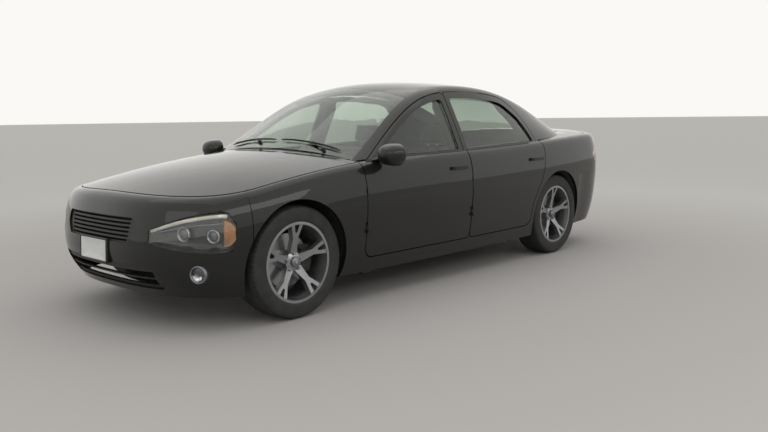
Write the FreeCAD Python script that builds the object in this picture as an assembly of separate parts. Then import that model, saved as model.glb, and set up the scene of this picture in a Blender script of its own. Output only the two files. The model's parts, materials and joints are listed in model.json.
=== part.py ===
"""Four-door sedan: hollow body of thick panels, hinged doors, hood and trunk lid, steered front wheels.

Millimetres. +Z is up, the nose points along -Y and +X is the car's left side.
The origin lies on the floor, under the middle of the car.
"""
import FreeCAD, Part
import math
import os

from FreeCAD import Vector

doc = FreeCAD.newDocument("Sedan")
sheet = doc.addObject("Spreadsheet::Sheet", "Sizes")

# Driving dimensions, one row of the sheet each.
SIZES = {
    # Whole car
    "overall_length": 4720,
    "overall_width": 1830,
    "overall_height": 1440,
    "wheelbase": 2860,
    "front_overhang": 810,
    "jack_height": 170,
    "jack_pad": 45,
    # Panels
    "door_thickness": 60,
    "frame_thickness": 30,
    "panel_thickness": 26,
    "pillar_depth": 42,
    "glass_thickness": 6,
    "shut_gap": 7,
    "trim_gap": 0.8,
    "weld_gap": 0.3,
    "lamp_depth": 60,
    "lamp_angle": 40,
    "grille_recess": 12,
    "grille_bars": 6,
    # Under the body
    "floor_thickness": 22,
    "tunnel_width": 260,
    "tunnel_height": 120,
    "liner_thickness": 10,
    "wheelhouse_inner": 452,
    "steer_radius": 402,
    "rail_width": 60,
    "beam_depth": 40,
    "radiator_depth": 45,
    "pipe_radius": 28,
    # Doors
    "door_setback": 540,
    "front_door_length": 1080,
    "rear_door_length": 930,
    "frame_width": 46,
    # Wheels
    "tyre_radius": 335,
    "tyre_width": 225,
    "tyre_bead_radius": 232,
    "wheel_face_inset": 38,
    "arch_gap": 36,
    "arch_lip": 50,
    "rim_wall": 9,
    "hub_radius": 68,
    "bore_radius": 30,
    "spoke_count": 5,
    "disc_radius": 160,
    "disc_thickness": 26,
    "disc_inset": 30,
    "hub_reach": 40,
    "kingpin_inset": 64,
    "pin_radius": 11,
    "arm_drop": 105,
    "arm_thickness": 20,
    "arm_spread": 360,
    "knuckle_width": 70,
    "spring_radius": 42,
    # Inside
    "column_angle": 25,
    "column_length": 330,
    "grip_radius": 15,
    "wheel_grip_circle": 178,
    # Hinges
    "door_seam": 10,
    "hinge_radius": 3,
    "hinge_standoff": 0.5,
    "hinge_knuckle": 24,
    "pull_length": 190,
    "pull_reach": 26,
    "pull_bar": 10,
}


def fill_sheet():
    """Writes each size in a row: its name, its value and the alias that features bind to."""
    for row, (alias, value) in enumerate(SIZES.items(), start=1):
        sheet.set("A%d" % row, alias)
        sheet.set("B%d" % row, str(value))
        sheet.setAlias("B%d" % row, alias)
    doc.recompute()


def size(alias):
    """One driving dimension, read back from the sheet."""
    return float(getattr(sheet, alias))


fill_sheet()

LENGTH = size("overall_length")
WIDTH = size("overall_width")
HEIGHT = size("overall_height")
HALF = WIDTH / 2
NOSE = -LENGTH / 2
TAIL = LENGTH / 2
FRONT_AXLE = NOSE + size("front_overhang")
REAR_AXLE = FRONT_AXLE + size("wheelbase")
AXLE_HEIGHT = size("tyre_radius")
GAP = size("shut_gap")
TRIM_GAP = size("trim_gap")
WHEEL_X = HALF - size("wheel_face_inset") - size("tyre_width") / 2
ARCH_RADIUS = size("tyre_radius") + size("arch_gap")
DOOR_LEAD = FRONT_AXLE + size("door_setback")
PILLAR_LINE = DOOR_LEAD + size("front_door_length")
DOOR_END = PILLAR_LINE + size("rear_door_length")
REAR_LEAD = PILLAR_LINE + size("door_seam")
OVERRUN = 300.0


def spline(shares):
    """Natural cubic through (place, value) pairs, straight beyond the ends."""
    place = [p for p, value in shares]
    value = [v for p, v in shares]
    count = len(place)
    step = [place[i + 1] - place[i] for i in range(count - 1)]
    bend = [0.0] * count
    slope = [0.0] * count
    pivot = [1.0] * count
    for i in range(1, count - 1):
        rise = 3 * ((value[i + 1] - value[i]) / step[i] - (value[i] - value[i - 1]) / step[i - 1])
        pivot[i] = 2 * (place[i + 1] - place[i - 1]) - step[i - 1] * slope[i - 1]
        slope[i] = step[i] / pivot[i]
        bend[i] = (rise - step[i - 1] * bend[i - 1]) / pivot[i]
    for i in range(count - 2, 0, -1):
        bend[i] -= slope[i] * bend[i + 1]
    bend[0] = bend[-1] = 0.0

    def at(x):
        i = max(0, min(count - 2, sum(1 for p in place[1:-1] if x >= p)))
        d = x - place[i]
        tilt = (value[i + 1] - value[i]) / step[i] - step[i] * (2 * bend[i] + bend[i + 1]) / 3
        if d < 0:
            return value[i] + tilt * d
        if d > step[i]:
            end = tilt + step[i] * (bend[i] + bend[i + 1])
            return value[i + 1] + end * (d - step[i])
        cube = (bend[i + 1] - bend[i]) / (3 * step[i])
        return value[i] + d * (tilt + d * (bend[i] + d * cube))

    return at


def along(y):
    """Place along the car, from 0 at the nose to 1 at the tail."""
    return (y - NOSE) / LENGTH


# Master lines. Places are shares of the length, widths of half the width, heights of the height.
WIDTH_SHARES = [(0.0, 0.935), (0.10, 0.967), (0.20, 0.986), (0.35, 0.995), (0.5, 1.0), (0.65, 1.0), (0.78, 0.994),
                (0.90, 0.962), (1.0, 0.915)]
SHOULDER_SHARES = [(0.0, 0.470), (0.05, 0.500), (0.17, 0.572), (0.30, 0.620), (0.50, 0.640), (0.70, 0.660),
                   (0.80, 0.674), (0.90, 0.688), (1.0, 0.694)]
CROWN_SHARES = [(0.0, 0.505), (0.05, 0.553), (0.10, 0.593), (0.17, 0.632), (0.25, 0.664), (0.32, 0.682),
                (0.60, 0.700), (0.86, 0.722), (0.94, 0.727), (1.0, 0.717)]
SILL_SHARES = [(0.0, 0.140), (0.08, 0.132), (0.20, 0.132), (0.5, 0.128), (0.8, 0.140), (0.92, 0.155), (1.0, 0.172)]
width_share = spline(WIDTH_SHARES)
shoulder_share = spline(SHOULDER_SHARES)
crown_share = spline(CROWN_SHARES)
sill_share = spline(SILL_SHARES)

# Side profile from sill to shoulder: (step, height share) and (step, inset share of half the width).
RISE_SHARES = [(0.0, 0.0), (0.15, 0.16), (0.35, 0.38), (0.55, 0.60), (0.70, 0.76), (0.82, 0.885), (0.91, 0.96), (1.0, 1.0)]
INSET_SHARES = [(0.0, 0.078), (0.12, 0.047), (0.30, 0.022), (0.50, 0.004), (0.60, 0.0), (0.70, 0.004), (0.80, 0.015),
                (0.90, 0.038), (1.0, 0.080)]
rise_share = spline(RISE_SHARES)
inset_share = spline(INSET_SHARES)

# How far nose and tail stand back from their tips, as shares of the length.
NOSE_BACK_SHARES = [(0.0, 0.022), (0.20, 0.006), (0.40, 0.0), (0.60, 0.002), (0.80, 0.007), (0.92, 0.014), (1.0, 0.024)]
TAIL_BACK_SHARES = [(0.0, 0.020), (0.20, 0.005), (0.40, 0.0), (0.60, 0.004), (0.80, 0.008), (0.92, 0.012), (1.0, 0.022)]
nose_back_share = spline(NOSE_BACK_SHARES)
tail_back_share = spline(TAIL_BACK_SHARES)
NOSE_REACH_SHARE = 0.135
TAIL_REACH_SHARE = 0.105
ROUNDNESS_SHARE = 2.7
NOSE_TANGENT = NOSE + NOSE_REACH_SHARE * LENGTH
TAIL_TANGENT = TAIL - TAIL_REACH_SHARE * LENGTH


def edge_width(y):
    """Half width of the car's top edge beside the hood and deck."""
    return HALF * (width_share(along(y)) - inset_share(1.0))


def shoulder(y):
    """Height of the top edge of the side."""
    return HEIGHT * shoulder_share(along(y))


def top_height(x, y):
    """Height of the hood and deck: a parabola across, from the shoulder up to the crown."""
    low = shoulder(y)
    return low + (HEIGHT * crown_share(along(y)) - low) * (1 - (x / edge_width(y)) ** 2)


def rounded(turn):
    """Unit superellipse at a turn of 0 at its tip to 1 at its side: (across, ahead)."""
    angle = turn * math.pi / 2
    across, ahead = math.sin(angle), math.cos(angle)
    radius = (abs(across) ** ROUNDNESS_SHARE + abs(ahead) ** ROUNDNESS_SHARE) ** (-1 / ROUNDNESS_SHARE)
    return radius * across, radius * ahead


def wall_point(girth, step):
    """Body side: girth -1 at the nose centre, 0 to 1 along the side, 2 at the tail centre; step 0 at the sill, 1 on top.
    Each level is a plan curve with superellipse ends; girth below -1 or above 2 comes round on the other side."""
    mirror = 1
    if girth < -1:
        girth, mirror = -2 - girth, -1
    if girth > 2:
        girth, mirror = 4 - girth, -1
    if girth < 0:
        across, ahead = rounded(1 + girth)
        tip = NOSE + LENGTH * nose_back_share(step)
        y = NOSE_TANGENT - (NOSE_TANGENT - tip) * ahead
    elif girth > 1:
        across, ahead = rounded(2 - girth)
        tip = TAIL - LENGTH * tail_back_share(step)
        y = TAIL_TANGENT + (tip - TAIL_TANGENT) * ahead
    else:
        across = 1.0
        y = NOSE_TANGENT + (TAIL_TANGENT - NOSE_TANGENT) * girth
    x = HALF * (width_share(along(y)) - inset_share(step)) * across
    low = HEIGHT * sill_share(along(y))
    z = low + (top_height(x, y) - low) * rise_share(step)
    return Vector(mirror * x, y, z)


# Greenhouse lines: rail half width and height, and centre height.
RAIL_WIDTH_SHARES = [(0.25, 0.895), (0.303, 0.842), (0.352, 0.782), (0.436, 0.700), (0.479, 0.674), (0.542, 0.656),
                     (0.627, 0.646), (0.70, 0.634), (0.775, 0.624), (0.84, 0.622), (0.90, 0.625)]
RAIL_HEIGHT_SHARES = [(0.25, 0.550), (0.303, 0.640), (0.352, 0.742), (0.436, 0.900), (0.479, 0.944), (0.542, 0.965),
                      (0.627, 0.958), (0.70, 0.922), (0.775, 0.848), (0.84, 0.757), (0.90, 0.664)]
RIDGE_SHARES = [(0.25, 0.632), (0.30, 0.731), (0.352, 0.829), (0.41, 0.930), (0.436, 0.962), (0.479, 0.989), (0.542, 1.0),
                (0.627, 0.991), (0.70, 0.955), (0.775, 0.880), (0.84, 0.792), (0.90, 0.704)]
rail_width_share = spline(RAIL_WIDTH_SHARES)
rail_height_share = spline(RAIL_HEIGHT_SHARES)
ridge_share = spline(RIDGE_SHARES)
ROOT_DROP_SHARE = 0.075
LEDGE_SHARE = 0.010
LEAN_SHARE = 0.35
RAIL_ROUND_SHARE = 0.055
BARREL_SHARE = 0.012


def rail(y):
    """Corner line of A pillar, roof rail and C pillar: (half width, height)."""
    place = along(y)
    return HALF * rail_width_share(place), HEIGHT * rail_height_share(place)


def ridge(y):
    """Centre height of windscreen, roof and rear window."""
    return HEIGHT * ridge_share(along(y))


def house_point(y, girth, depth=0.0):
    """Greenhouse at a depth below its skin: girth 0 at its root inside the left shoulder, 1 to 2 round the rail, 3 on
    the centre line, 6 at the right root. Sections shrink inward and down, so that deep layers never fold."""
    mirror = 1
    if girth > 3:
        girth, mirror = 6 - girth, -1
    rail_x, rail_z = rail(y)
    belt_x = edge_width(y) - LEDGE_SHARE * HALF
    rise = max(rail_z - shoulder(y), ROOT_DROP_SHARE * HEIGHT)
    lean = (belt_x - rail_x) / rise
    drop = ROOT_DROP_SHARE * HEIGHT
    root_x = belt_x + min(lean, LEAN_SHARE) * drop
    root_z = min(shoulder(y), rail_z) - drop
    crown = ridge(y) - rail_z
    root_x -= depth
    rail_x -= depth
    rail_z -= depth
    root_z -= depth / 2
    reach = max(RAIL_ROUND_SHARE * HALF - depth / 2, RAIL_ROUND_SHARE * HALF / 3)
    side = Vector(rail_x - root_x, 0, rail_z - root_z)
    lower = 1 - reach / side.Length

    def side_at(share):
        bulge = BARREL_SHARE * HALF * 4 * share * (1 - share)
        return Vector(root_x + side.x * share + bulge, y, root_z + side.z * share)

    def top_at(share):
        x = rail_x * (1 - share)
        return Vector(x, y, rail_z + crown * (1 - (1 - share) ** 2))

    inner = reach / rail_x
    if girth <= 1:
        point = side_at(lower * girth)
    elif girth < 2:
        t = girth - 1
        corner = Vector(rail_x, y, rail_z)
        point = side_at(lower) * (1 - t) ** 2 + corner * 2 * t * (1 - t) + top_at(inner) * t ** 2
    else:
        point = top_at(inner + (1 - inner) * (girth - 2))
    return Vector(mirror * point.x, point.y, point.z)


def wall_layer(girth, step, depth=0.0):
    """Body side at a level distance inside its skin."""
    tiny = 1e-3
    course = wall_point(girth + tiny, step) - wall_point(girth - tiny, step)
    inward = Vector(-course.y, course.x, 0)
    inward.normalize()
    return wall_point(girth, step) + inward * depth


def top_point(x, y, depth=0.0):
    """Hood and deck surface."""
    return Vector(x, y, top_height(x, y) - depth)


def spread(start, end, count):
    """Evenly spaced places, both ends included."""
    return [start + (end - start) * i / (count - 1) for i in range(count)]


def slab(surface, across, along_line, near, far):
    """Solid between two layers of a master surface, at depths below its outer side."""
    skins = []
    for depth in (near, far):
        skin = Part.BSplineSurface()
        skin.interpolate([[surface(a, b, depth) for b in along_line] for a in across])
        skins.append(skin.toShape())
    faces = list(skins)
    for first, second in zip(skins[0].Edges, skins[1].Edges):
        faces.append(Part.makeRuledSurface(first, second, 1))
    shell = Part.makeShell(faces)
    shell.sewShape()
    solid = Part.Solid(shell)
    if solid.Volume < 0:
        solid.reverse()
    return solid


def box(x0, x1, y0, y1, z0, z1):
    """Box between corners."""
    return Part.makeBox(x1 - x0, y1 - y0, z1 - z0, Vector(x0, y0, z0))


def mirrored(shape):
    """The same shape on the other side of the car."""
    return shape.mirror(Vector(0, 0, 0), Vector(1, 0, 0))


def one_solid(shape):
    """The shape's largest solid, where a boolean left slivers."""
    return max(shape.Solids, key=lambda solid: solid.Volume)


KEPT = {}


def keep(label, shape):
    """Adds a sub-part with its shape to the document."""
    feature = doc.addObject("Part::Feature", label)
    feature.Label = label
    feature.Shape = shape
    KEPT[label] = feature
    return feature


def keep_pair(label, shape):
    """Adds a left sub-part and its mirror image on the right."""
    keep(label + "_left", shape)
    keep(label + "_right", mirrored(shape))


NOSE_STEPS = spread(-1, 0, 9)
SIDE_STEPS = spread(0, 1, 10)
TAIL_STEPS = spread(1, 2, 9)
WALL_RISE = spread(0, 1, 9)
SLACK = 0.03


def girth_at(y):
    """Wall girth of a place along the straight side."""
    return (y - NOSE_TANGENT) / (TAIL_TANGENT - NOSE_TANGENT)


WALL_GIRTHS = NOSE_STEPS[3:-1] + SIDE_STEPS + TAIL_STEPS[1:-2]
LOOSE_RISE = spread(-SLACK, 1 + SLACK, 9)


def side_wall(near, far):
    """Left body side between two depths, from nose corner to tail corner."""
    return slab(wall_layer, WALL_GIRTHS, WALL_RISE, near, far)


def nose_wall(near, far):
    """Wall round the nose from side to side."""
    left = NOSE_STEPS[1:] + [girth_at(NOSE_TANGENT + 90), girth_at(NOSE_TANGENT + 180)]
    girths = [-2 - g for g in reversed(left)] + [-1.0] + left
    return slab(wall_layer, girths, WALL_RISE, near, far)


def tail_wall(near, far):
    """Wall round the tail from side to side."""
    left = [girth_at(TAIL_TANGENT - 400), girth_at(TAIL_TANGENT - 200)] + TAIL_STEPS[:-1]
    girths = left + [2.0] + [4 - g for g in reversed(left)]
    return slab(wall_layer, girths, WALL_RISE, near, far)


HOUSE_START = NOSE + 0.262 * LENGTH
HOUSE_END = NOSE + 0.898 * LENGTH
HOUSE_YS = spread(HOUSE_START, HOUSE_END, 17)
HOUSE_HALF_GIRTHS = spread(0, 1, 8) + spread(1, 2, 5)[1:] + spread(2, 3, 7)[1:]
HOUSE_GIRTHS = HOUSE_HALF_GIRTHS + [6 - g for g in reversed(HOUSE_HALF_GIRTHS[:-1])]


def house(near, far, girths=None):
    """Greenhouse shell between two depths."""
    return slab(house_point, HOUSE_YS, girths or HOUSE_GIRTHS, near, far)


def deck(y0, y1, near, far):
    """Slab of the hood or deck surface."""
    reach = edge_width((y0 + y1) / 2) + 40
    return slab(top_point, spread(-reach, reach, 5), spread(y0, y1, 7), near, far)


def at(share):
    """Place along the car from a share of its length."""
    return NOSE + share * LENGTH


def up(share):
    """Height from a share of the car's height."""
    return share * HEIGHT


def out(share):
    """Distance from the centre line from a share of half the width."""
    return share * HALF


def rounded_wire(points):
    """Closed wire of lines and tangent arcs. Each point is a Vector and a corner radius; a radius of None takes the
    largest that fits."""
    count = len(points)
    corners = []
    for i in range(count):
        before, corner, after = points[i - 1][0], points[i][0], points[(i + 1) % count][0]
        radius = points[i][1]
        back, ahead = before - corner, after - corner
        reach = FILLET_REACH_SHARE * min(back.Length, ahead.Length)
        half_turn = back.getAngle(ahead) / 2
        if radius == 0 or half_turn > STRAIGHT_SHARE * math.pi / 2:
            corners.append((corner, None, corner))
            continue
        largest = reach * math.tan(half_turn)
        radius = largest if radius is None else min(radius, largest)
        leg = radius / math.tan(half_turn)
        start = corner + back * (leg / back.Length)
        end = corner + ahead * (leg / ahead.Length)
        inward = (back / back.Length + ahead / ahead.Length)
        inward.normalize()
        middle = corner + inward * (radius / math.sin(half_turn) - radius)
        corners.append((start, middle, end))
    edges = []
    for i in range(count):
        start, middle, end = corners[i]
        if middle is not None:
            edges.append(Part.Arc(start, middle, end).toShape())
        following = corners[(i + 1) % count][0]
        if (following - end).Length > TOUCH:
            edges.append(Part.LineSegment(end, following).toShape())
    return Part.Wire(edges)


FILLET_REACH_SHARE = 0.46
STRAIGHT_SHARE = 0.9995
TOUCH = 1e-4
LOWER_SLANT_SHARE = 0.10
UPPER_SLANT_SHARE = 0.42


def offset_outline(points, distance):
    """Outline of (a, b, radius) points moved outward by a distance; inward where it is negative."""
    area = sum(p[0] * q[1] - q[0] * p[1] for p, q in zip(points, points[1:] + points[:1]))
    sign = 1 if area > 0 else -1
    moved = []
    count = len(points)
    for i in range(count):
        a, b, c = points[i - 1], points[i], points[(i + 1) % count]
        first = Vector(b[0] - a[0], b[1] - a[1], 0)
        second = Vector(c[0] - b[0], c[1] - b[1], 0)
        first.normalize()
        second.normalize()
        normal_1 = Vector(first.y, -first.x, 0) * sign
        normal_2 = Vector(second.y, -second.x, 0) * sign
        both = normal_1 + normal_2
        both = both * (2 * distance / both.Length ** 2)
        radius = b[2]
        if radius:
            radius = max(radius + distance, 0.0)
        moved.append((b[0] + both.x, b[1] + both.y, radius))
    return moved


def side_cutter(outline, skin=None, slant=0.0, near=0.0):
    """Prism through the left side from an outline of (y, z, radius). With a skin its corners lie on that skin, and the
    prism leans aft on its way out by the slant."""
    corners = []
    for y, z, radius in outline:
        x = skin(y, z) if skin else 0.0
        corners.append((Vector(near, y - slant * (x - near), z), radius))
    reach = HALF + OVERRUN - near
    return Part.Face(rounded_wire(corners)).extrude(Vector(reach, slant * reach, 0))


def plan_cutter(outline, low=0.0, high=None):
    """Upright prism from an outline of (x, y, radius)."""
    high = HEIGHT + OVERRUN if high is None else high
    corners = [(Vector(x, y, low), radius) for x, y, radius in outline]
    return Part.Face(rounded_wire(corners)).extrude(Vector(0, 0, high - low))


def front_cutter(outline, start, end):
    """Prism along the car from an outline of (x, z, radius)."""
    corners = [(Vector(x, start, z), radius) for x, z, radius in outline]
    return Part.Face(rounded_wire(corners)).extrude(Vector(0, end - start, 0))


def solve(function, target, low, high):
    """Bisection for a rising function."""
    for _ in range(BISECTIONS):
        middle = (low + high) / 2
        if function(middle) < target:
            low = middle
        else:
            high = middle
    return (low + high) / 2


BISECTIONS = 40


def wall_x(y, z):
    """Outer half width of the side at a place and height."""
    girth = girth_at(y)
    step = solve(lambda s: wall_point(girth, s).z, z, 0.0, 1.0)
    return wall_point(girth, step).x


def house_x(y, z):
    """Outer half width of the greenhouse side at a place and height."""
    girth = solve(lambda g: house_point(y, g).z, z, 0.0, 1.9)
    return house_point(y, girth).x


def door_top(y):
    """Upper edge of the door frames, under the rail."""
    return rail(y)[1] - up(DOOR_DROP_SHARE)


DOOR_DROP_SHARE = 0.028
ROCKER_TOP_SHARE = 0.200
PILLAR_FOOT_SHARE = 0.3083
WRAP = size("door_thickness") + GAP + size("pillar_depth")
HOUSE_WRAP = size("frame_thickness") + GAP + size("pillar_depth")

# Door outlines on the skin: (y, z, radius).
front_lower = [
    (DOOR_LEAD, up(ROCKER_TOP_SHARE), up(0.045)),
    (PILLAR_LINE, up(ROCKER_TOP_SHARE), up(0.025)),
    (PILLAR_LINE, up(0.42), 0),
    (PILLAR_LINE, up(0.50), 0),
    (PILLAR_LINE, up(0.58), 0),
    (PILLAR_LINE, up(0.70), 0),
    (DOOR_LEAD, up(0.70), 0),
    (DOOR_LEAD, up(0.58), 0),
    (DOOR_LEAD, up(0.50), 0),
    (DOOR_LEAD, up(0.42), 0),
]
arch_rim = ARCH_RADIUS + size("arch_lip")
arch_turns = [math.radians(turn) for turn in (-6, 14, 30, 44)]
REAR_EDGE_SHARES = [(0.7215, 0.500), (0.7265, 0.560), (0.7290, 0.620), (0.7290, 0.72)]
rear_lower = (
    [(REAR_LEAD, up(ROCKER_TOP_SHARE), up(0.025))]
    + [(REAR_AXLE - arch_rim * math.cos(turn), AXLE_HEIGHT + arch_rim * math.sin(turn), None) for turn in arch_turns]
    + [(at(y), up(z), None) for y, z in REAR_EDGE_SHARES[:-1]]
    + [(at(REAR_EDGE_SHARES[-1][0]), up(REAR_EDGE_SHARES[-1][1]), 0), (REAR_LEAD, up(0.72), 0),
       (REAR_LEAD, up(0.58), 0), (REAR_LEAD, up(0.50), 0), (REAR_LEAD, up(0.42), 0)]
)
belt_root = up(0.035)
foot = at(PILLAR_FOOT_SHARE)
front_upper = (
    [(foot, shoulder(foot) - belt_root, 0), (PILLAR_LINE, shoulder(PILLAR_LINE) - belt_root, 0),
     (PILLAR_LINE, up(0.80), 0), (PILLAR_LINE, door_top(PILLAR_LINE), up(0.02))]
    + [(y, door_top(y), None) for y in spread(PILLAR_LINE - 0.03 * LENGTH, foot + 0.01 * LENGTH, 8)]
    + [(foot, door_top(foot), 0)]
)
REAR_FRAME_SHARES = [(0.715, 0.825), (0.7275, 0.725)]
frame_end = at(0.680)
belt_end = at(REAR_EDGE_SHARES[-1][0])
rear_upper = (
    [(REAR_LEAD, shoulder(PILLAR_LINE) - belt_root, 0), (belt_end, shoulder(belt_end) - belt_root, 0)]
    + [(at(y), up(z), None) for y, z in reversed(REAR_FRAME_SHARES)]
    + [(frame_end, door_top(frame_end), None)]
    + [(y, door_top(y), None) for y in spread(frame_end - 0.03 * LENGTH, PILLAR_LINE + 0.03 * LENGTH, 4)]
    + [(REAR_LEAD, door_top(PILLAR_LINE), up(0.02)), (REAR_LEAD, up(0.80), 0)]
)


def lower_cutter(outline, grow=0.0):
    """Door outline through the side wall."""
    return side_cutter(offset_outline(outline, grow), wall_x, LOWER_SLANT_SHARE)


def upper_cutter(outline, grow=0.0):
    """Door frame outline through the greenhouse side."""
    return side_cutter(offset_outline(outline, grow), house_x, UPPER_SLANT_SHARE)


def belt(y):
    """Lower edge of the side glass."""
    return shoulder(y) + up(BELT_RISE_SHARE)


BELT_RISE_SHARE = 0.006
FRAME = size("frame_width")
SAIL_END = at(0.338)
front_window = (
    [(SAIL_END, belt(SAIL_END), 0), (PILLAR_LINE - FRAME, belt(PILLAR_LINE - FRAME), up(0.008)),
     (PILLAR_LINE - FRAME, door_top(PILLAR_LINE) - FRAME, up(0.02))]
    + [(y, door_top(y) - FRAME, None) for y in spread(PILLAR_LINE - 0.04 * LENGTH, SAIL_END + 0.035 * LENGTH, 7)]
    + [(SAIL_END, door_top(SAIL_END) - FRAME, 0)]
)
REAR_WINDOW_SHARES = [(0.7060, 0.800), (0.7165, 0.720)]
window_start = REAR_LEAD + FRAME
window_end = at(0.7195)
top_end = at(0.672)
rear_window_outline = (
    [(window_start, belt(window_start), up(0.008)), (window_end, belt(window_end), 0)]
    + [(at(y), up(z), None) for y, z in reversed(REAR_WINDOW_SHARES)]
    + [(top_end, door_top(top_end) - FRAME, None)]
    + [(y, door_top(y) - FRAME, None) for y in spread(top_end - 0.03 * LENGTH, window_start + 0.03 * LENGTH, 3)]
    + [(window_start, door_top(window_start) - FRAME, up(0.02))]
)

# Doors
wall_door = side_wall(0.0, size("door_thickness"))
house_half = [g for g in HOUSE_GIRTHS if g <= 3]
house_door = house(0.0, size("frame_thickness"), house_half)


def door(lower_outline, upper_outline, window):
    """Door shell: the lower skin as thick as the door, with a thinner frame round its window."""
    panel = wall_door.common(lower_cutter(lower_outline))
    frame = house_door.common(upper_cutter(upper_outline))
    return one_solid(one_solid(panel).fuse(one_solid(frame)).cut(side_cutter(window)))


front_door = door(front_lower, front_upper, front_window)
rear_door = door(rear_lower, rear_upper, rear_window_outline)


# Hood outline, shared by what surrounds it
PANEL = size("panel_thickness")
WELD = size("weld_gap")
HOOD_REAR_SHARE = 0.2595
HOOD_CORNER_SHARE = 0.2835
HOOD_BOW_SHARES = (0.86, 0.60, 0.30, 0.0, -0.30, -0.60, -0.86)
FLANGE_SHARE = 0.012
corner = at(HOOD_CORNER_SHARE)


def rim_points(start, end, count, inset):
    """Points (x, y) along the left top rim of the body, moved inward."""
    points = []
    for girth in spread(start, end, count):
        point = wall_layer(girth, 1.0, inset)
        points.append((point.x, point.y))
    return points


hood_half = rim_points(girth_at(corner), girth_at(corner), 2, out(FLANGE_SHARE))[0][0]


def hood_rear(shift=0.0):
    """Rear edge of the hood from left to right: straight at its hinges and bowed ahead between them."""
    bow = HOOD_BOW_SHARES[0]
    edge = []
    for share in HOOD_BOW_SHARES:
        y = at(HOOD_REAR_SHARE) + (corner - at(HOOD_REAR_SHARE)) * (share / bow) ** 2 + shift
        edge.append((hood_half * share, y, None))
    return edge


def hood_plan(grow):
    """Hood outline from above."""
    left = rim_points(girth_at(corner), 0.0, 4, out(FLANGE_SHARE)) + rim_points(-0.12, -0.95, 9, out(FLANGE_SHARE))
    loop = [(left[0][0], corner, up(0.015))] + [(x, y, None) for x, y in left[1:]]
    loop += [(-x, y, None) for x, y in reversed(left[1:])] + [(-left[0][0], corner, up(0.015))]
    return offset_outline(loop + list(reversed(hood_rear())), grow)


# Body side: rocker, pillars, roof rail and quarter panel
lift = Vector(0, 0, GAP)
wall_pocket = side_wall(-GAP, size("door_thickness") + 2 * GAP).translated(lift)
house_pocket = house(-GAP, size("frame_thickness") + GAP, house_half)
wall_body = side_wall(0.0, WRAP)
house_body = house(0.0, HOUSE_WRAP, house_half)

RING = FRAME * 0.85
front_ring = [
    (DOOR_LEAD + FRAME * 1.6, up(ROCKER_TOP_SHARE) + FRAME, up(0.05)),
    (PILLAR_LINE - FRAME, up(ROCKER_TOP_SHARE) + FRAME, up(0.04)),
    (PILLAR_LINE - FRAME, door_top(PILLAR_LINE) - RING, up(0.03)),
] + [(y, door_top(y) - RING, None) for y in spread(PILLAR_LINE - 0.04 * LENGTH, at(0.335), 7)] + [
    (DOOR_LEAD + FRAME * 2.2, up(0.60), up(0.05)),
]
REAR_RING_SHARES = [(0.705, 0.800), (0.716, 0.700), (0.716, 0.560), (0.706, 0.500)]
rear_ring = (
    [(REAR_LEAD + FRAME, up(ROCKER_TOP_SHARE) + FRAME, up(0.04))]
    + [(REAR_AXLE - (arch_rim + FRAME) * math.cos(turn), AXLE_HEIGHT + (arch_rim + FRAME) * math.sin(turn), None)
       for turn in arch_turns[1:]]
    + [(at(y), up(z), None) for y, z in reversed(REAR_RING_SHARES)]
    + [(top_end, door_top(top_end) - RING, None)]
    + [(y, door_top(y) - RING, None) for y in spread(top_end - 0.03 * LENGTH, window_start + 0.03 * LENGTH, 3)]
    + [(REAR_LEAD + FRAME, door_top(PILLAR_LINE) - RING, up(0.03))]
)
BUMPER_JOINT = at(0.1015)
REAR_JOINT = at(0.850)
BUMPER_TOP_SHARE = 0.460
rail_inset = up(0.026)
rail_ys = spread(HOUSE_START - 0.02 * LENGTH, HOUSE_END + 0.02 * LENGTH, 13)
roof_plan = ([(-rail(y)[0] + rail_inset, y, None) for y in rail_ys]
             + [(rail(y)[0] - rail_inset, y, None) for y in reversed(rail_ys)])
arch_front = Part.makeCylinder(ARCH_RADIUS, HALF + OVERRUN, Vector(0, FRONT_AXLE, AXLE_HEIGHT), Vector(1, 0, 0))
arch_rear = Part.makeCylinder(ARCH_RADIUS, HALF + OVERRUN, Vector(0, REAR_AXLE, AXLE_HEIGHT), Vector(1, 0, 0))
quarter_start = belt_end + FRAME
quarter_hollow = slab(wall_layer, WALL_GIRTHS, LOOSE_RISE,
                      size("panel_thickness"), WRAP + GAP).common(
    side_cutter([(quarter_start, 0, 0), (TAIL + OVERRUN, 0, 0), (TAIL + OVERRUN, HEIGHT, 0), (quarter_start, HEIGHT, 0)]))
post_start = DOOR_LEAD - FRAME * 2.4
fender_outline = [(BUMPER_JOINT, up(0.20), 0), (DOOR_LEAD - GAP, up(0.05), 0), (DOOR_LEAD - GAP, up(0.42), 0),
                  (DOOR_LEAD - GAP, up(0.50), 0), (DOOR_LEAD - GAP, up(0.58), 0), (DOOR_LEAD - GAP, up(0.75), 0),
                  (BUMPER_JOINT, up(0.75), 0)]
fender_zone = side_cutter(offset_outline(fender_outline, WELD), wall_x, LOWER_SLANT_SHARE)
fender_hollow = side_wall(-GAP, PANEL + GAP).common(fender_zone)
ahead = side_cutter([(NOSE - OVERRUN, 0, 0), (post_start, 0, 0), (post_start, HEIGHT + GAP, 0),
                     (NOSE - OVERRUN, HEIGHT + GAP, 0)])
behind = side_cutter([(REAR_JOINT, 0, 0), (TAIL + OVERRUN, 0, 0), (TAIL + OVERRUN, up(BUMPER_TOP_SHARE), 0),
                      (REAR_JOINT, up(BUMPER_TOP_SHARE), 0)])
door_space = (wall_pocket.common(lower_cutter(front_lower, GAP)), wall_pocket.common(lower_cutter(rear_lower, GAP)),
              house_pocket.common(upper_cutter(front_upper, GAP)), house_pocket.common(upper_cutter(rear_upper, GAP)))
SCUTTLE_SHARE = 0.74
scuttle_plan = [(out(SCUTTLE_SHARE), post_start, 0), (out(SCUTTLE_SHARE), at(0.295), 0), (out(0.89), at(0.295), 0),
                (out(0.89), post_start, 0)]
GLASS = size("glass_thickness")
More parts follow.
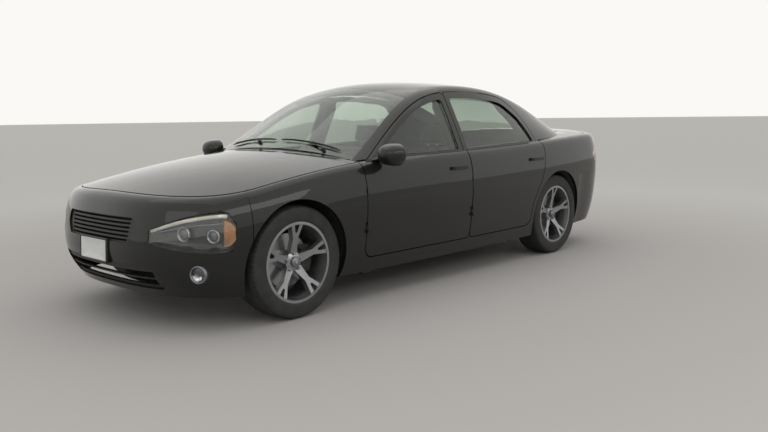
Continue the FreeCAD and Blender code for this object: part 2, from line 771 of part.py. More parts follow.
TRIM = size("trim_gap")
pane_space = house(-OVERRUN / 3, GLASS + TRIM)
scuttle = deck(post_start - FRAME, at(0.32), 0.0, PANEL).common(plan_cutter(scuttle_plan)).cut(pane_space)
rear_door = one_solid(rear_door.cut(door_space[0]))
pillar_house = house_body.cut(plan_cutter(roof_plan))
pane_plan = plan_cutter(offset_outline(roof_plan, -WELD))
pillar_core = house(-WELD, HOUSE_WRAP + WELD).cut(pane_plan)
body_side = one_solid(wall_body.fuse([one_solid(pillar_house), one_solid(scuttle)]).cut(ahead))
for cutter in door_space + (side_cutter(front_ring), side_cutter(rear_ring), arch_rear, quarter_hollow,
                            fender_hollow.translated(lift * 0.5), fender_hollow.translated(lift * -0.5), behind):
    body_side = body_side.cut(cutter)
body_side = one_solid(body_side)


# Hood
hood = deck(at(0.015), at(0.30), 0.0, PANEL).common(plan_cutter(hood_plan(-GAP / 2)))
hood = one_solid(hood)
hood_space = deck(at(0.0), at(0.32), -PANEL, PANEL + GAP).common(plan_cutter(hood_plan(GAP / 2)))
body_side = body_side.cut(hood_space)

# Front fender
wall_skin = side_wall(0.0, PANEL)
lamp_turn = math.radians(size("lamp_angle"))


def lamp_cutter(outline, nose):
    """Prism from an outline of (u, z, radius) seen from the lamp's own angle; u runs outward and round the corner."""
    side = -1 if nose else 1
    tip = NOSE if nose else TAIL
    sight = Vector(math.sin(lamp_turn), side * math.cos(lamp_turn), 0)
    across = Vector(math.cos(lamp_turn), -side * math.sin(lamp_turn), 0)
    base = Vector(0, tip, 0)
    corners = [(base + across * u + sight * HALF + Vector(0, 0, z), radius) for u, z, radius in outline]
    return Part.Face(rounded_wire(corners)).extrude(sight * (-HALF - OVERRUN))


HEADLAMP_SHARES = [(0.455, 0.352), (0.620, 0.330), (0.820, 0.316), (0.955, 0.318), (0.990, 0.370), (0.985, 0.425),
                   (0.905, 0.472), (0.680, 0.448), (0.455, 0.398)]
headlamp_outline = [(out(u), up(z), up(0.008)) for u, z in HEADLAMP_SHARES]
headlamp_hole = lamp_cutter(offset_outline(headlamp_outline, TRIM), True)
fender = wall_skin.common(side_cutter(fender_outline, wall_x, LOWER_SLANT_SHARE))
fender = fender.cut(arch_front).cut(plan_cutter(hood_plan(GAP / 2), up(0.44))).cut(headlamp_hole)
fender = one_solid(fender)

# Front bumper with grille and intake openings
nose_skin = nose_wall(0.0, PANEL)
bumper_reach = [(-HALF - OVERRUN, NOSE - OVERRUN, 0), (HALF + OVERRUN, NOSE - OVERRUN, 0),
                (HALF + OVERRUN, BUMPER_JOINT - TRIM, 0), (-HALF - OVERRUN, BUMPER_JOINT - TRIM, 0)]


def both_sides(outline):
    """A half outline in front view, completed across the centre line."""
    return outline + [(-x, z, radius) for x, z, radius in reversed(outline)]


GRILLE_SHARES = [(0.370, 0.345), (0.425, 0.392), (0.405, 0.442)]
INTAKE_SHARES = [(0.560, 0.165), (0.600, 0.215), (0.520, 0.262)]
grille_outline = both_sides([(out(x), up(z), up(0.02)) for x, z in GRILLE_SHARES])
intake_outline = both_sides([(out(x), up(z), up(0.02)) for x, z in INTAKE_SHARES])
front_depth = at(0.09)
front_bumper = nose_skin.common(plan_cutter(bumper_reach, -OVERRUN))
for cutter in (arch_front, mirrored(arch_front), headlamp_hole, mirrored(headlamp_hole),
               plan_cutter(hood_plan(GAP / 2), up(0.44)),
               front_cutter(offset_outline(grille_outline, TRIM), NOSE - OVERRUN, front_depth),
               front_cutter(offset_outline(intake_outline, TRIM), NOSE - OVERRUN, front_depth)):
    front_bumper = front_bumper.cut(cutter)
front_bumper = one_solid(front_bumper)

# Headlamps
lamp_slab = nose_wall(0.0, size("lamp_depth"))
headlamp = one_solid(lamp_slab.common(lamp_cutter(headlamp_outline, True)).cut(
    plan_cutter(hood_plan(GAP / 2), up(0.44))))
headlamps = Part.makeCompound([headlamp, mirrored(headlamp)])

# Grille: a frame with bars, in the upper opening, and a mesh panel in the intake
grille_slab = nose_wall(size("grille_recess"), size("grille_recess") + PANEL)
bar_pitch = (up(GRILLE_SHARES[2][1]) - up(GRILLE_SHARES[0][1])) / size("grille_bars")
grille = grille_slab.common(front_cutter(grille_outline, NOSE - OVERRUN, front_depth))
slot_half = out(0.35)
slots = []
for i in range(int(size("grille_bars"))):
    low = up(GRILLE_SHARES[0][1]) + bar_pitch * (i + 0.25)
    high = low + bar_pitch * 0.5
    reach = slot_half + (out(0.03) * i / size("grille_bars"))
    slots.append(front_cutter([(-reach, low, 0), (reach, low, 0), (reach, high, 0), (-reach, high, 0)],
                              NOSE - OVERRUN, front_depth))
for slot in slots:
    grille = grille.cut(slot)
grille = one_solid(grille)
intake_bars = grille_slab.common(front_cutter(intake_outline, NOSE - OVERRUN, front_depth))
for share in (0.30, 0.62):
    low = up(INTAKE_SHARES[0][1]) + (up(INTAKE_SHARES[2][1]) - up(INTAKE_SHARES[0][1])) * share
    intake_bars = intake_bars.cut(front_cutter(
        [(-out(0.53), low - up(0.012), 0), (out(0.53), low - up(0.012), 0), (out(0.53), low + up(0.012), 0),
         (-out(0.53), low + up(0.012), 0)], NOSE - OVERRUN, front_depth))
intake_bars = one_solid(intake_bars)
front_grille = Part.makeCompound([grille, intake_bars])

# Trunk lid: deck and the upper middle of the tail
LID_FRONT_SHARE = 0.8935
LID_TAIL_HALF_SHARE = 0.545
LID_FOOT_SHARE = 0.4625
lid_front = at(LID_FRONT_SHARE)
lid_inset = out(0.045)


def lid_plan(grow):
    """Outline of the lid from above."""
    side = rim_points(1.15, 1.55, 7, lid_inset)
    half = [(side[0][0], lid_front, up(0.015))] + [(x, y, None) for x, y in side[:-1]]
    half += [(side[-1][0], side[-1][1], 0), (out(LID_TAIL_HALF_SHARE), side[-1][1], 0),
             (out(LID_TAIL_HALF_SHARE), TAIL + OVERRUN, 0)]
    loop = half + [(-x, y, radius) for x, y, radius in reversed(half)]
    return offset_outline(loop, grow)


tail_skin = tail_wall(0.0, PANEL)
lid_tail_outline = both_sides([(out(LID_TAIL_HALF_SHARE) - out(0.03), up(LID_FOOT_SHARE), up(0.02)),
                               (out(LID_TAIL_HALF_SHARE), up(0.60), 0), (out(LID_TAIL_HALF_SHARE), up(0.95), 0)])
lid_tail = tail_skin.common(front_cutter(offset_outline(lid_tail_outline, -GAP / 2), TAIL_TANGENT, TAIL + OVERRUN))
tail_air = slab(wall_layer, TAIL_STEPS[3:-1] + [2.0] + [4 - g for g in reversed(TAIL_STEPS[3:-1])],
                spread(0.5, 1 + SLACK, 5), -OVERRUN / 2, 0.0)
lid_deck = deck(at(0.88), at(0.995), 0.0, PANEL).common(plan_cutter(lid_plan(-GAP / 2))).cut(tail_air)

lid = one_solid(one_solid(lid_deck).fuse(one_solid(lid_tail.common(plan_cutter(lid_plan(-GAP / 2))))))


# Quarter panel top, tail opening and lamp hole
strip_half = rim_points(girth_at(quarter_start), 1.0, 5, out(0.013)) + rim_points(1.08, 1.58, 9, out(0.013))
strip_back = rim_points(1.58, 1.15, 7, lid_inset + out(0.05))
strip_plan = ([(x, y, None) for x, y in strip_half] + [(x, y, None) for x, y in strip_back]
              + [(strip_back[-1][0], lid_front - GAP / 2, 0), (out(0.61), lid_front - GAP / 2, 0), (out(0.61), at(0.80), 0),
                 (out(0.74), quarter_start, 0)])
strip_plan[0] = (strip_plan[0][0], strip_plan[0][1], 0)
shoulder_strip = one_solid(deck(at(0.73), at(0.995), 0.0, PANEL).common(plan_cutter(strip_plan)).cut(
    plan_cutter(lid_plan(GAP / 2))))
TAIL_LAMP_SHARES = [(0.450, 0.500), (0.800, 0.500), (1.000, 0.528), (1.035, 0.572), (0.950, 0.610), (0.700, 0.612),
                    (0.450, 0.604)]
tail_lamp_outline = [(out(u), up(z), up(0.01)) for u, z in TAIL_LAMP_SHARES]
lid_space = deck(at(0.87), at(1.0), -PANEL, PANEL + GAP).common(plan_cutter(lid_plan(GAP / 2)))
body_side = one_solid(body_side.cut(lid_space))
body_side = body_side.fuse(shoulder_strip)
body_side = body_side.cut(lamp_cutter(offset_outline(tail_lamp_outline, TRIM), False))
body_side = body_side.cut(front_cutter(offset_outline(lid_tail_outline, GAP / 2), TAIL_TANGENT, TAIL + OVERRUN))
body_side = one_solid(body_side)
tail_slab = tail_wall(0.0, size("lamp_depth"))
tail_lamp = one_solid(tail_slab.common(lamp_cutter(tail_lamp_outline, False)).cut(
    front_cutter(offset_outline(lid_tail_outline, GAP / 2), TAIL_TANGENT, TAIL + OVERRUN)))
tail_lamps = Part.makeCompound([tail_lamp, mirrored(tail_lamp)])

# Rear bumper
rear_reach = [(-HALF - OVERRUN, REAR_JOINT + TRIM, 0), (HALF + OVERRUN, REAR_JOINT + TRIM, 0),
              (HALF + OVERRUN, TAIL + OVERRUN, 0), (-HALF - OVERRUN, TAIL + OVERRUN, 0)]
rear_bumper = tail_skin.common(plan_cutter(rear_reach, -OVERRUN, up(BUMPER_TOP_SHARE) - TRIM))
rear_bumper = one_solid(rear_bumper.cut(arch_rear).cut(mirrored(arch_rear)))

# Roof, windscreen and rear window
HEADER_SHARE = 0.434
REAR_HEADER_SHARE = 0.703
SCREEN_FOOT_SHARE = 0.2710
SCREEN_CORNER_SHARE = 0.2900
BACKLIGHT_FOOT_SHARE = 0.8800
BACKLIGHT_CORNER_SHARE = 0.8740
header = at(HEADER_SHARE)
rear_header = at(REAR_HEADER_SHARE)


def between_rails(start, end, count, slack):
    """Right and left edge points between the rails, the left from start to end."""
    left = [(rail(y)[0] - rail_inset - slack, y) for y in spread(start, end, count)]
    return [(x, y, None) for x, y in left], [(-x, y, None) for x, y in reversed(left)]


def bowed(x_half, corner, foot, count):
    """Bowed edge from left to right: at the corners on one line, at the centre on another."""
    return [(x_half * share, foot + (corner - foot) * share ** 2, None) for share in spread(0.75, -0.75, count)]


def pane_range(front_edge, rear_edge):
    """Prism between a front and a rear edge, each from left to right."""
    return plan_cutter(front_edge + list(reversed(rear_edge)))


def straight_edge(y):
    """Edge straight across the car."""
    return [(HALF, y, 0), (-HALF, y, 0)]


roof_deep = house(0.0, 1.4 * PANEL).common(pane_plan).common(
    pane_range(straight_edge(header + TRIM), straight_edge(rear_header - TRIM)))
for space in (door_space[2], door_space[3]):
    roof_deep = roof_deep.cut(space).cut(mirrored(space))
inner_left, inner_right = between_rails(header + FRAME, rear_header - FRAME, 7, PANEL)
roof_hollow = house(PANEL, 3 * PANEL).common(plan_cutter(inner_left + inner_right))
roof = one_solid(one_solid(roof_deep).cut(roof_hollow))

screen_half = rail(at(SCREEN_CORNER_SHARE))[0] - rail_inset
back_half = rail(at(BACKLIGHT_CORNER_SHARE))[0] - rail_inset


def foot_edge(x_half, corner, foot, shift=0.0):
    """Foot of a pane from left to right: bowed between its corners, straight beyond them."""
    bow = [(x, y + shift, None) for x, y, r in bowed(x_half, corner, foot, 5)]
    return [(HALF, corner + shift, 0), (x_half, corner + shift, 0)] + bow + [
        (-x_half, corner + shift, 0), (-HALF, corner + shift, 0)]


glass_shell = house(0.0, GLASS).common(pane_plan)
screen_foot = foot_edge(screen_half, at(SCREEN_CORNER_SHARE), at(SCREEN_FOOT_SHARE))
windscreen = one_solid(glass_shell.common(pane_range(screen_foot, straight_edge(header))))
back_foot = foot_edge(back_half, at(BACKLIGHT_CORNER_SHARE), at(BACKLIGHT_FOOT_SHARE))
rear_window = one_solid(glass_shell.common(pane_range(straight_edge(rear_header), back_foot)))

# Side glass, in the middle of the frames
side_glass_shell = house(size("frame_thickness") / 3, size("frame_thickness") / 3 + GLASS, house_half)
front_glass = one_solid(side_glass_shell.common(side_cutter(offset_outline(front_window, -WELD))))
rear_glass = one_solid(side_glass_shell.common(side_cutter(offset_outline(rear_window_outline, -WELD))))

# Cowl between hood and windscreen
cowl_depth = GLASS
cowl_half = out(SCUTTLE_SHARE) - TRIM
cowl_rear = [(x, y + PANEL / 2, None) for x, y, r in bowed(screen_half, at(SCREEN_CORNER_SHARE), at(SCREEN_FOOT_SHARE), 5)]
cowl_outline = (hood_rear(GAP) + [(-screen_half, corner + GAP, 0), (-screen_half, at(SCREEN_CORNER_SHARE) + PANEL / 2, 0)]
                + list(reversed(cowl_rear)) + [(screen_half, at(SCREEN_CORNER_SHARE) + PANEL / 2, 0), (screen_half, corner + GAP, 0)])
cowl = deck(at(0.24), at(0.33), cowl_depth, cowl_depth + PANEL / 2).common(plan_cutter(cowl_outline)).common(
    box(-cowl_half, cowl_half, NOSE, TAIL, 0, HEIGHT)).cut(pillar_core).cut(pane_space)
cowl = one_solid(cowl)

# Floor pan with firewall, heel board, luggage floor and tail panel, as one pressing
SHEET = size("floor_thickness")
FLOOR_SHARES = [(0.2700, 0.600), (0.2700, 0.290), (0.2900, 0.150), (0.6900, 0.150), (0.7060, 0.235), (0.8400, 0.250),
                (0.8600, 0.225), (0.9600, 0.225), (0.9760, 0.300), (0.9760, 0.430)]
floor_line = [(at(y), up(z)) for y, z in FLOOR_SHARES]


def strip_outline(line, thickness):
    """Closed outline of a folded sheet that follows a line of (a, b) on its upper side."""
    doubled = [(a, b, 0) for a, b in line] + [(a, b, 0) for a, b in reversed(line)]
    lower = []
    for i, (a, b) in enumerate(line):
        before = line[max(i - 1, 0)]
        after = line[min(i + 1, len(line) - 1)]
        first = Vector(a - before[0], b - before[1], 0)
        second = Vector(after[0] - a, after[1] - b, 0)
        if first.Length < TOUCH:
            first = second
        if second.Length < TOUCH:
            second = first
        first.normalize()
        second.normalize()
        normal = Vector(first.y, -first.x, 0) + Vector(second.y, -second.x, 0)
        normal = normal * (2 * thickness / normal.Length ** 2)
        lower.append((a + normal.x, b + normal.y))
    return [(a, b, thickness) for a, b in line] + [(a, b, 2 * thickness) for a, b in reversed(lower)]


def across_prism(outline, half, centre=0.0):
    """Outline in (y, z) carried across the car, both ways from a centre plane."""
    corners = [(Vector(centre - half, y, z), radius) for y, z, radius in outline]
    return Part.Face(rounded_wire(corners)).extrude(Vector(2 * half, 0, 0))


firewall_y, firewall_top = floor_line[0]
cowl_web = box(-out(0.32), out(0.32), firewall_y - SHEET, firewall_y, firewall_top + WELD, HEIGHT).cut(
    deck(at(0.24), at(0.30), -OVERRUN * 2, cowl_depth + PANEL / 4))
cowl = one_solid(cowl.fuse(one_solid(cowl_web)))

ARM = size("arm_thickness")
arm_low = AXLE_HEIGHT - size("arm_drop")
LINER = size("liner_thickness")
LINER_X = size("wheelhouse_inner")
floor_sheet = across_prism(strip_outline(floor_line, SHEET), HALF)
tunnel_half = size("tunnel_width") / 2
tunnel_top = up(0.150) + size("tunnel_height")


def tunnel_outline(bottom):
    """Section of the tunnel down to a height, as (x, z, radius)."""
    return [(-tunnel_half, bottom, 0), (tunnel_half, bottom, 0), (tunnel_half, up(0.150), 0),
            (tunnel_half * 0.7, tunnel_top, size("tunnel_height") / 3),
            (-tunnel_half * 0.7, tunnel_top, size("tunnel_height") / 3), (-tunnel_half, up(0.150), 0)]


tunnel_start = at(0.2703)
tunnel_end = at(0.6975)
tunnel_block = front_cutter(tunnel_outline(up(0.150) - SHEET), tunnel_start, tunnel_end)
tunnel_void = front_cutter(offset_outline(tunnel_outline(up(0.150) - 3 * SHEET), -SHEET), tunnel_start - OVERRUN,
                           tunnel_end - SHEET)


def liner(axle_y, radius, side_x):
    """Wheelhouse: an arch over the wheel with an inner wall."""
    centre = Vector(LINER_X, axle_y, AXLE_HEIGHT)
    shell = Part.makeCylinder(radius + LINER, side_x - LINER_X, centre, Vector(1, 0, 0))
    void = Part.makeCylinder(radius, side_x, centre + Vector(LINER, 0, 0), Vector(1, 0, 0))
    below = box(0, side_x + OVERRUN, axle_y - 2 * radius, axle_y + 2 * radius, -OVERRUN, arm_low + ARM)
    return shell.cut(void).cut(below), void


rear_liner, rear_void = liner(REAR_AXLE, ARCH_RADIUS, HALF)
floor_pan = floor_sheet.cut(tunnel_void).fuse(tunnel_block.cut(tunnel_void))
side_block = side_wall(-OVERRUN / 3, WRAP + WELD).common(
    side_cutter([(NOSE, -OVERRUN, 0), (quarter_start + WELD, -OVERRUN, 0), (quarter_start + WELD, HEIGHT, 0), (NOSE, HEIGHT, 0)]))
quarter_block = side_wall(-OVERRUN / 3, PANEL + WELD)
for void in (rear_void, mirrored(rear_void)):
    floor_pan = floor_pan.cut(void)
floor_pan = floor_pan.fuse([rear_liner, mirrored(rear_liner)])
tail_plan = [(out(0.7), TAIL_TANGENT, 0)] + [(wall_layer(g, 0.1, PANEL + TRIM).x, wall_layer(g, 0.1, PANEL + TRIM).y, None)
                                             for g in spread(1.2, 1.95, 8)]
tail_plan += [(-x, y, r) for x, y, r in reversed(tail_plan)]
tail_outside = box(-HALF, HALF, TAIL_TANGENT + FRAME, TAIL + OVERRUN, 0, HEIGHT).cut(plan_cutter(tail_plan))
for block in (side_block, quarter_block, mirrored(side_block), mirrored(quarter_block), pillar_core, tail_outside):
    floor_pan = floor_pan.cut(block)
floor_pan = one_solid(floor_pan)

# Front structure: rails, wheelhouses, cross beam and radiator panel
front_liner, front_void = liner(FRONT_AXLE, size("steer_radius"), HALF)
rail_high = up(0.335)
rail_low = up(0.265)
firewall_front = firewall_y - SHEET - WELD
beam_front = nose_wall(PANEL + WELD, PANEL + WELD + size("beam_depth")).common(
    box(-out(0.62), out(0.62), NOSE - OVERRUN, at(0.06), rail_low, up(0.345)))
rails = [box(LINER_X - size("rail_width"), LINER_X + LINER / 2, at(0.022), firewall_front, rail_low, rail_high)]
rails.append(mirrored(rails[0]))
radiator = box(-out(0.38), out(0.38), at(0.040), at(0.040) + size("radiator_depth"), up(0.235), up(0.440))
tie_bar = box(-LINER_X - LINER, LINER_X + LINER, at(0.040), at(0.040) + size("radiator_depth"), rail_high - SHEET,
              up(0.440))
front_structure = one_solid(beam_front).fuse([rails[0], rails[1], tie_bar, radiator])
for mirror in (False, True):
    arch = front_liner.cut(box(0, HALF, firewall_front, 0, -OVERRUN, HEIGHT)).cut(side_wall(-OVERRUN / 3, PANEL + WELD))
    arch = one_solid(arch.cut(side_wall(-OVERRUN / 3, WRAP + WELD).common(
        box(0, HALF + OVERRUN, post_start - WELD, 0, 0, HEIGHT))))
    arch = mirrored(arch) if mirror else arch
    front_structure = front_structure.fuse(arch)
front_structure = one_solid(front_structure)

# Rear shelf: the strip between rear window and lid, a web and the parcel shelf
shelf_half = out(0.61) - TRIM
strip_front = [(x, y + TRIM, None) for x, y, r in bowed(back_half, at(BACKLIGHT_CORNER_SHARE), at(BACKLIGHT_FOOT_SHARE), 5)]
strip_shape = [(shelf_half, at(BACKLIGHT_CORNER_SHARE) + TRIM, 0)] + strip_front + [
    (-shelf_half, at(BACKLIGHT_CORNER_SHARE) + TRIM, 0), (-shelf_half, lid_front - GAP / 2, 0),
    (shelf_half, lid_front - GAP / 2, 0)]
rear_strip = deck(at(0.84), at(0.92), 0.0, PANEL).common(plan_cutter(strip_shape)).cut(pane_space)
shelf_z = up(0.640)
shelf_web = box(-shelf_half, shelf_half, at(0.881), at(0.881) + SHEET, shelf_z, up(0.700))
shelf = box(-shelf_half, shelf_half, at(0.755), at(0.881) + SHEET, shelf_z - SHEET, shelf_z)
rear_shelf = one_solid(one_solid(rear_strip).fuse([shelf_web, shelf]).cut(pillar_core))

# Engine, exhaust and tank
engine = box(-out(0.34), out(0.34), at(0.085), at(0.235), up(0.185), up(0.500))
engine = engine.makeChamfer(out(0.04), engine.Edges)
pipe_z = up(0.150) - SHEET - size("pipe_radius") - GAP


def tube_run(points, radius):
    """Round bar through a list of points, with balls at its bends."""
    run = None
    for start, end in zip(points, points[1:]):
        leg = Part.makeCylinder(radius, (end - start).Length, start, end - start)
        run = leg if run is None else run.fuse(leg)
    for joint in points[1:-1]:
        run = run.fuse(Part.makeSphere(radius, joint))
    return run


muffler_low = up(0.125)
muffler_high = floor_line[6][1] - SHEET - WELD
muffler = box(-out(0.46), out(0.46), at(0.868), at(0.930), muffler_low, muffler_high)
muffler = muffler.makeFillet((muffler_high - muffler_low) * 0.35, [e for e in muffler.Edges if abs(e.tangentAt(0).x) > 0.9])
pipe_line = [Vector(0, at(0.270), pipe_z), Vector(0, at(0.840), pipe_z), Vector(0, at(0.872), (muffler_low + muffler_high) / 2)]
exhaust = tube_run(pipe_line, size("pipe_radius")).fuse(muffler)
for side in (-1, 1):
    tail_start = Vector(side * out(0.40), at(0.925), (muffler_low + muffler_high) / 2)
    exhaust = exhaust.fuse(Part.makeCylinder(size("pipe_radius"), at(0.988) - at(0.925), tail_start, Vector(0, 1, 0)))
    rear_bumper = rear_bumper.cut(Part.makeCylinder(size("pipe_radius") + GAP, OVERRUN, tail_start, Vector(0, 1, 0)))
tank = box(-out(0.42), out(0.42), at(0.7135), at(0.736), up(0.140), floor_line[4][1] - SHEET - WELD)


# Suspension
KINGPIN_X = WHEEL_X - size("kingpin_inset")
SPINDLE = size("bore_radius") - WELD
PIN = size("pin_radius")


def cylinder(radius, start, end):
    """Cylinder from one point to another."""
    return Part.makeCylinder(radius, (end - start).Length, start, end - start)


arm_high = AXLE_HEIGHT + size("arm_drop") * 1.25
KNUCKLE = size("knuckle_width") / 2


def arm_plate(axle_y, inner_x, z, spread_half):
    """Wishbone: a plate that narrows from its two body mounts to the kingpin."""
    tip = KINGPIN_X
    outline = [(inner_x, axle_y - spread_half, ARM), (tip, axle_y - 2 * PIN, ARM), (tip + 2 * PIN, axle_y, 2 * PIN),
               (tip, axle_y + 2 * PIN, ARM), (inner_x, axle_y + spread_half, ARM)]
    plate = plan_cutter(outline, z - ARM / 2, z + ARM / 2)
    hole = [(inner_x + 3 * ARM, axle_y - spread_half * 0.5, ARM), (tip - 5 * PIN, axle_y - PIN, ARM / 2),
            (tip - 5 * PIN, axle_y + PIN, ARM / 2), (inner_x + 3 * ARM, axle_y + spread_half * 0.5, ARM)]
    return plate.cut(plan_cutter(hole, z - ARM, z + ARM))


def kingpin_hole(axle_y, z):
    """Bore for a ball joint pin."""
    return Part.makeCylinder(PIN + WELD, 2 * ARM, Vector(KINGPIN_X, axle_y, z - ARM))


cross_half = LINER_X - size("rail_width")
member = box(-cross_half, cross_half, FRONT_AXLE - ARM * 4, FRONT_AXLE + ARM * 4, arm_low - ARM, arm_low + ARM)
lower_front = member
for side in (1, -1):
    arm = arm_plate(FRONT_AXLE, cross_half - ARM, arm_low, size("arm_spread") / 2).cut(kingpin_hole(FRONT_AXLE, arm_low))
    lower_front = lower_front.fuse(arm if side > 0 else mirrored(arm))
post = box(cross_half - size("rail_width"), cross_half, FRONT_AXLE - ARM, FRONT_AXLE + ARM, arm_low, rail_low - WELD)
lower_front = one_solid(lower_front.fuse([post, mirrored(post)]))
upper_arm = arm_plate(FRONT_AXLE, LINER_X + LINER + WELD, arm_high, size("arm_spread") / 3).cut(
    kingpin_hole(FRONT_AXLE, arm_high))
spring_x = LINER_X + size("spring_radius") * 2
spring_top = AXLE_HEIGHT + math.sqrt(size("steer_radius") ** 2 - size("spring_radius") ** 2) - WELD
spring = cylinder(size("spring_radius"), Vector(spring_x, FRONT_AXLE, arm_high), Vector(spring_x, FRONT_AXLE, spring_top))
upper_arm = one_solid(upper_arm.fuse(spring))
front_suspension = Part.makeCompound([lower_front, upper_arm, mirrored(upper_arm)])

# Knuckle: an upright between the ball joints, with the spindle
spindle_end = WHEEL_X + size("hub_reach")
HUB_BACK = WHEEL_X - size("disc_inset") - size("disc_thickness") / 2 - GAP
upright = box(KINGPIN_X - KNUCKLE, HUB_BACK, FRONT_AXLE - KNUCKLE, FRONT_AXLE + KNUCKLE,
              arm_low + ARM / 2 + WELD, arm_high - ARM / 2 - WELD)
upright = upright.makeChamfer(KNUCKLE / 4, upright.Edges)
knuckle = upright.fuse([
    cylinder(PIN, Vector(KINGPIN_X, FRONT_AXLE, arm_low - ARM / 2), Vector(KINGPIN_X, FRONT_AXLE, arm_high + ARM / 2)),
    cylinder(SPINDLE, Vector(KINGPIN_X, FRONT_AXLE, AXLE_HEIGHT), Vector(spindle_end, FRONT_AXLE, AXLE_HEIGHT))])
caliper_ring = cylinder(size("disc_radius") * 1.12, Vector(WHEEL_X - size("disc_inset") - size("disc_thickness") * 1.3, FRONT_AXLE, AXLE_HEIGHT),
                        Vector(WHEEL_X - size("disc_inset") + size("disc_thickness") * 1.3, FRONT_AXLE, AXLE_HEIGHT))
caliper_core = cylinder(size("disc_radius") * 0.68, Vector(KINGPIN_X, FRONT_AXLE, AXLE_HEIGHT),
                        Vector(HALF, FRONT_AXLE, AXLE_HEIGHT))
disc_slot = cylinder(size("disc_radius") * 1.03, Vector(WHEEL_X - size("disc_inset") - size("disc_thickness") * 0.65, FRONT_AXLE, AXLE_HEIGHT),
                     Vector(WHEEL_X - size("disc_inset") + size("disc_thickness") * 0.65, FRONT_AXLE, AXLE_HEIGHT))
caliper_zone = box(0, HALF, FRONT_AXLE + size("disc_radius") * 0.45, FRONT_AXLE + size("disc_radius") * 2,
                   AXLE_HEIGHT - size("disc_radius") * 0.5, AXLE_HEIGHT + size("disc_radius") * 0.5)
caliper = one_solid(caliper_ring.cut(caliper_core).cut(disc_slot).common(caliper_zone))
carrier = box(KINGPIN_X - KNUCKLE / 2, WHEEL_X - size("disc_inset") - size("disc_thickness") * 0.65, FRONT_AXLE,
              FRONT_AXLE + size("disc_radius") * 0.95, AXLE_HEIGHT - KNUCKLE, AXLE_HEIGHT + KNUCKLE)
knuckle = one_solid(knuckle.fuse([caliper, carrier]))

# Rear axle
rear_member = box(-cross_half, cross_half, REAR_AXLE - ARM * 5, REAR_AXLE + ARM * 5, arm_low - ARM, arm_low + ARM * 2)
rear_axle = rear_member
for side in (1, -1):
    arm = arm_plate(REAR_AXLE, cross_half - ARM, arm_low, size("arm_spread") / 2)
    hub = box(KINGPIN_X - KNUCKLE, HUB_BACK, REAR_AXLE - KNUCKLE, REAR_AXLE + KNUCKLE, arm_low, AXLE_HEIGHT + KNUCKLE)
    spindle = cylinder(SPINDLE, Vector(KINGPIN_X, REAR_AXLE, AXLE_HEIGHT), Vector(spindle_end, REAR_AXLE, AXLE_HEIGHT))
    coil = cylinder(size("spring_radius"), Vector(spring_x + ARM, REAR_AXLE, arm_low), Vector(
        spring_x + ARM, REAR_AXLE, AXLE_HEIGHT + math.sqrt(ARCH_RADIUS ** 2 - size("spring_radius") ** 2) - WELD))
    caliper_rear = caliper.translated(Vector(0, REAR_AXLE - FRONT_AXLE, 0)).fuse(
        carrier.translated(Vector(0, REAR_AXLE - FRONT_AXLE, 0)))
    group = arm.fuse([hub, spindle, coil, caliper_rear])
    rear_axle = rear_axle.fuse(group if side > 0 else mirrored(group))
mount_top = floor_line[4][1] - SHEET - WELD
rear_axle = rear_axle.fuse(box(-cross_half, -cross_half * 0.7, REAR_AXLE - ARM * 3, REAR_AXLE + ARM * 3, arm_low, mount_top))
rear_axle = rear_axle.fuse(box(cross_half * 0.7, cross_half, REAR_AXLE - ARM * 3, REAR_AXLE + ARM * 3, arm_low, mount_top))
rear_suspension = one_solid(rear_axle)


# Wheels
def placed_wheel(label, shape_of, side, axle_y):
    """A wheel piece drawn at the origin about X, outer side +X, moved to its corner of the car."""
    shape = shape_of if side > 0 else mirrored(shape_of)
    return keep(label, shape.translated(Vector(side * WHEEL_X, axle_y, AXLE_HEIGHT)))


def turned(points):
    """Ring from a closed outline of (x, radius), turned about the X axis."""
    wire = Part.makePolygon([Vector(x, 0, r) for x, r in points] + [Vector(points[0][0], 0, points[0][1])])
    return Part.Face(wire).revolve(Vector(0, 0, 0), Vector(1, 0, 0), 360)


def turned_round(points):
    """Ring from a closed rounded outline of (x, radius, corner)."""
    corners = [(Vector(x, 0, r), c) for x, r, c in points]
    return Part.Face(rounded_wire(corners)).revolve(Vector(0, 0, 0), Vector(1, 0, 0), 360)


TYRE_R = size("tyre_radius")
BEAD = size("tyre_bead_radius")
half_tyre = size("tyre_width") / 2
RIM = size("rim_wall")
bead_half = half_tyre * 0.88 - RIM - WELD
tyre_outline = [(-bead_half, BEAD + RIM + 2 * WELD, 0), (-bead_half, BEAD, 0), (bead_half, BEAD, 0), (bead_half, BEAD + RIM + 2 * WELD, 0), (half_tyre, (BEAD + TYRE_R) / 2, (TYRE_R - BEAD) * 0.5),
                (half_tyre * 0.84, TYRE_R - RIM * 0.4, (TYRE_R - BEAD) * 0.22), (0, TYRE_R, 0),
                (-half_tyre * 0.84, TYRE_R - RIM * 0.4, (TYRE_R - BEAD) * 0.22), (-half_tyre, (BEAD + TYRE_R) / 2, (TYRE_R - BEAD) * 0.5)]
tyre = turned_round(tyre_outline)
rim_half = half_tyre * 0.88
barrel = turned([(-rim_half, BEAD + RIM), (-rim_half + RIM, BEAD + RIM), (-rim_half + RIM, BEAD - WELD), (rim_half - RIM, BEAD - WELD),
                 (rim_half - RIM, BEAD + RIM), (rim_half, BEAD + RIM), (rim_half, BEAD - RIM), (rim_half * 0.55, BEAD - 2 * RIM),
                 (0, BEAD - 2 * RIM), (-rim_half, BEAD - RIM)])
hub_face = size("hub_reach")
disc_x = -size("disc_inset")
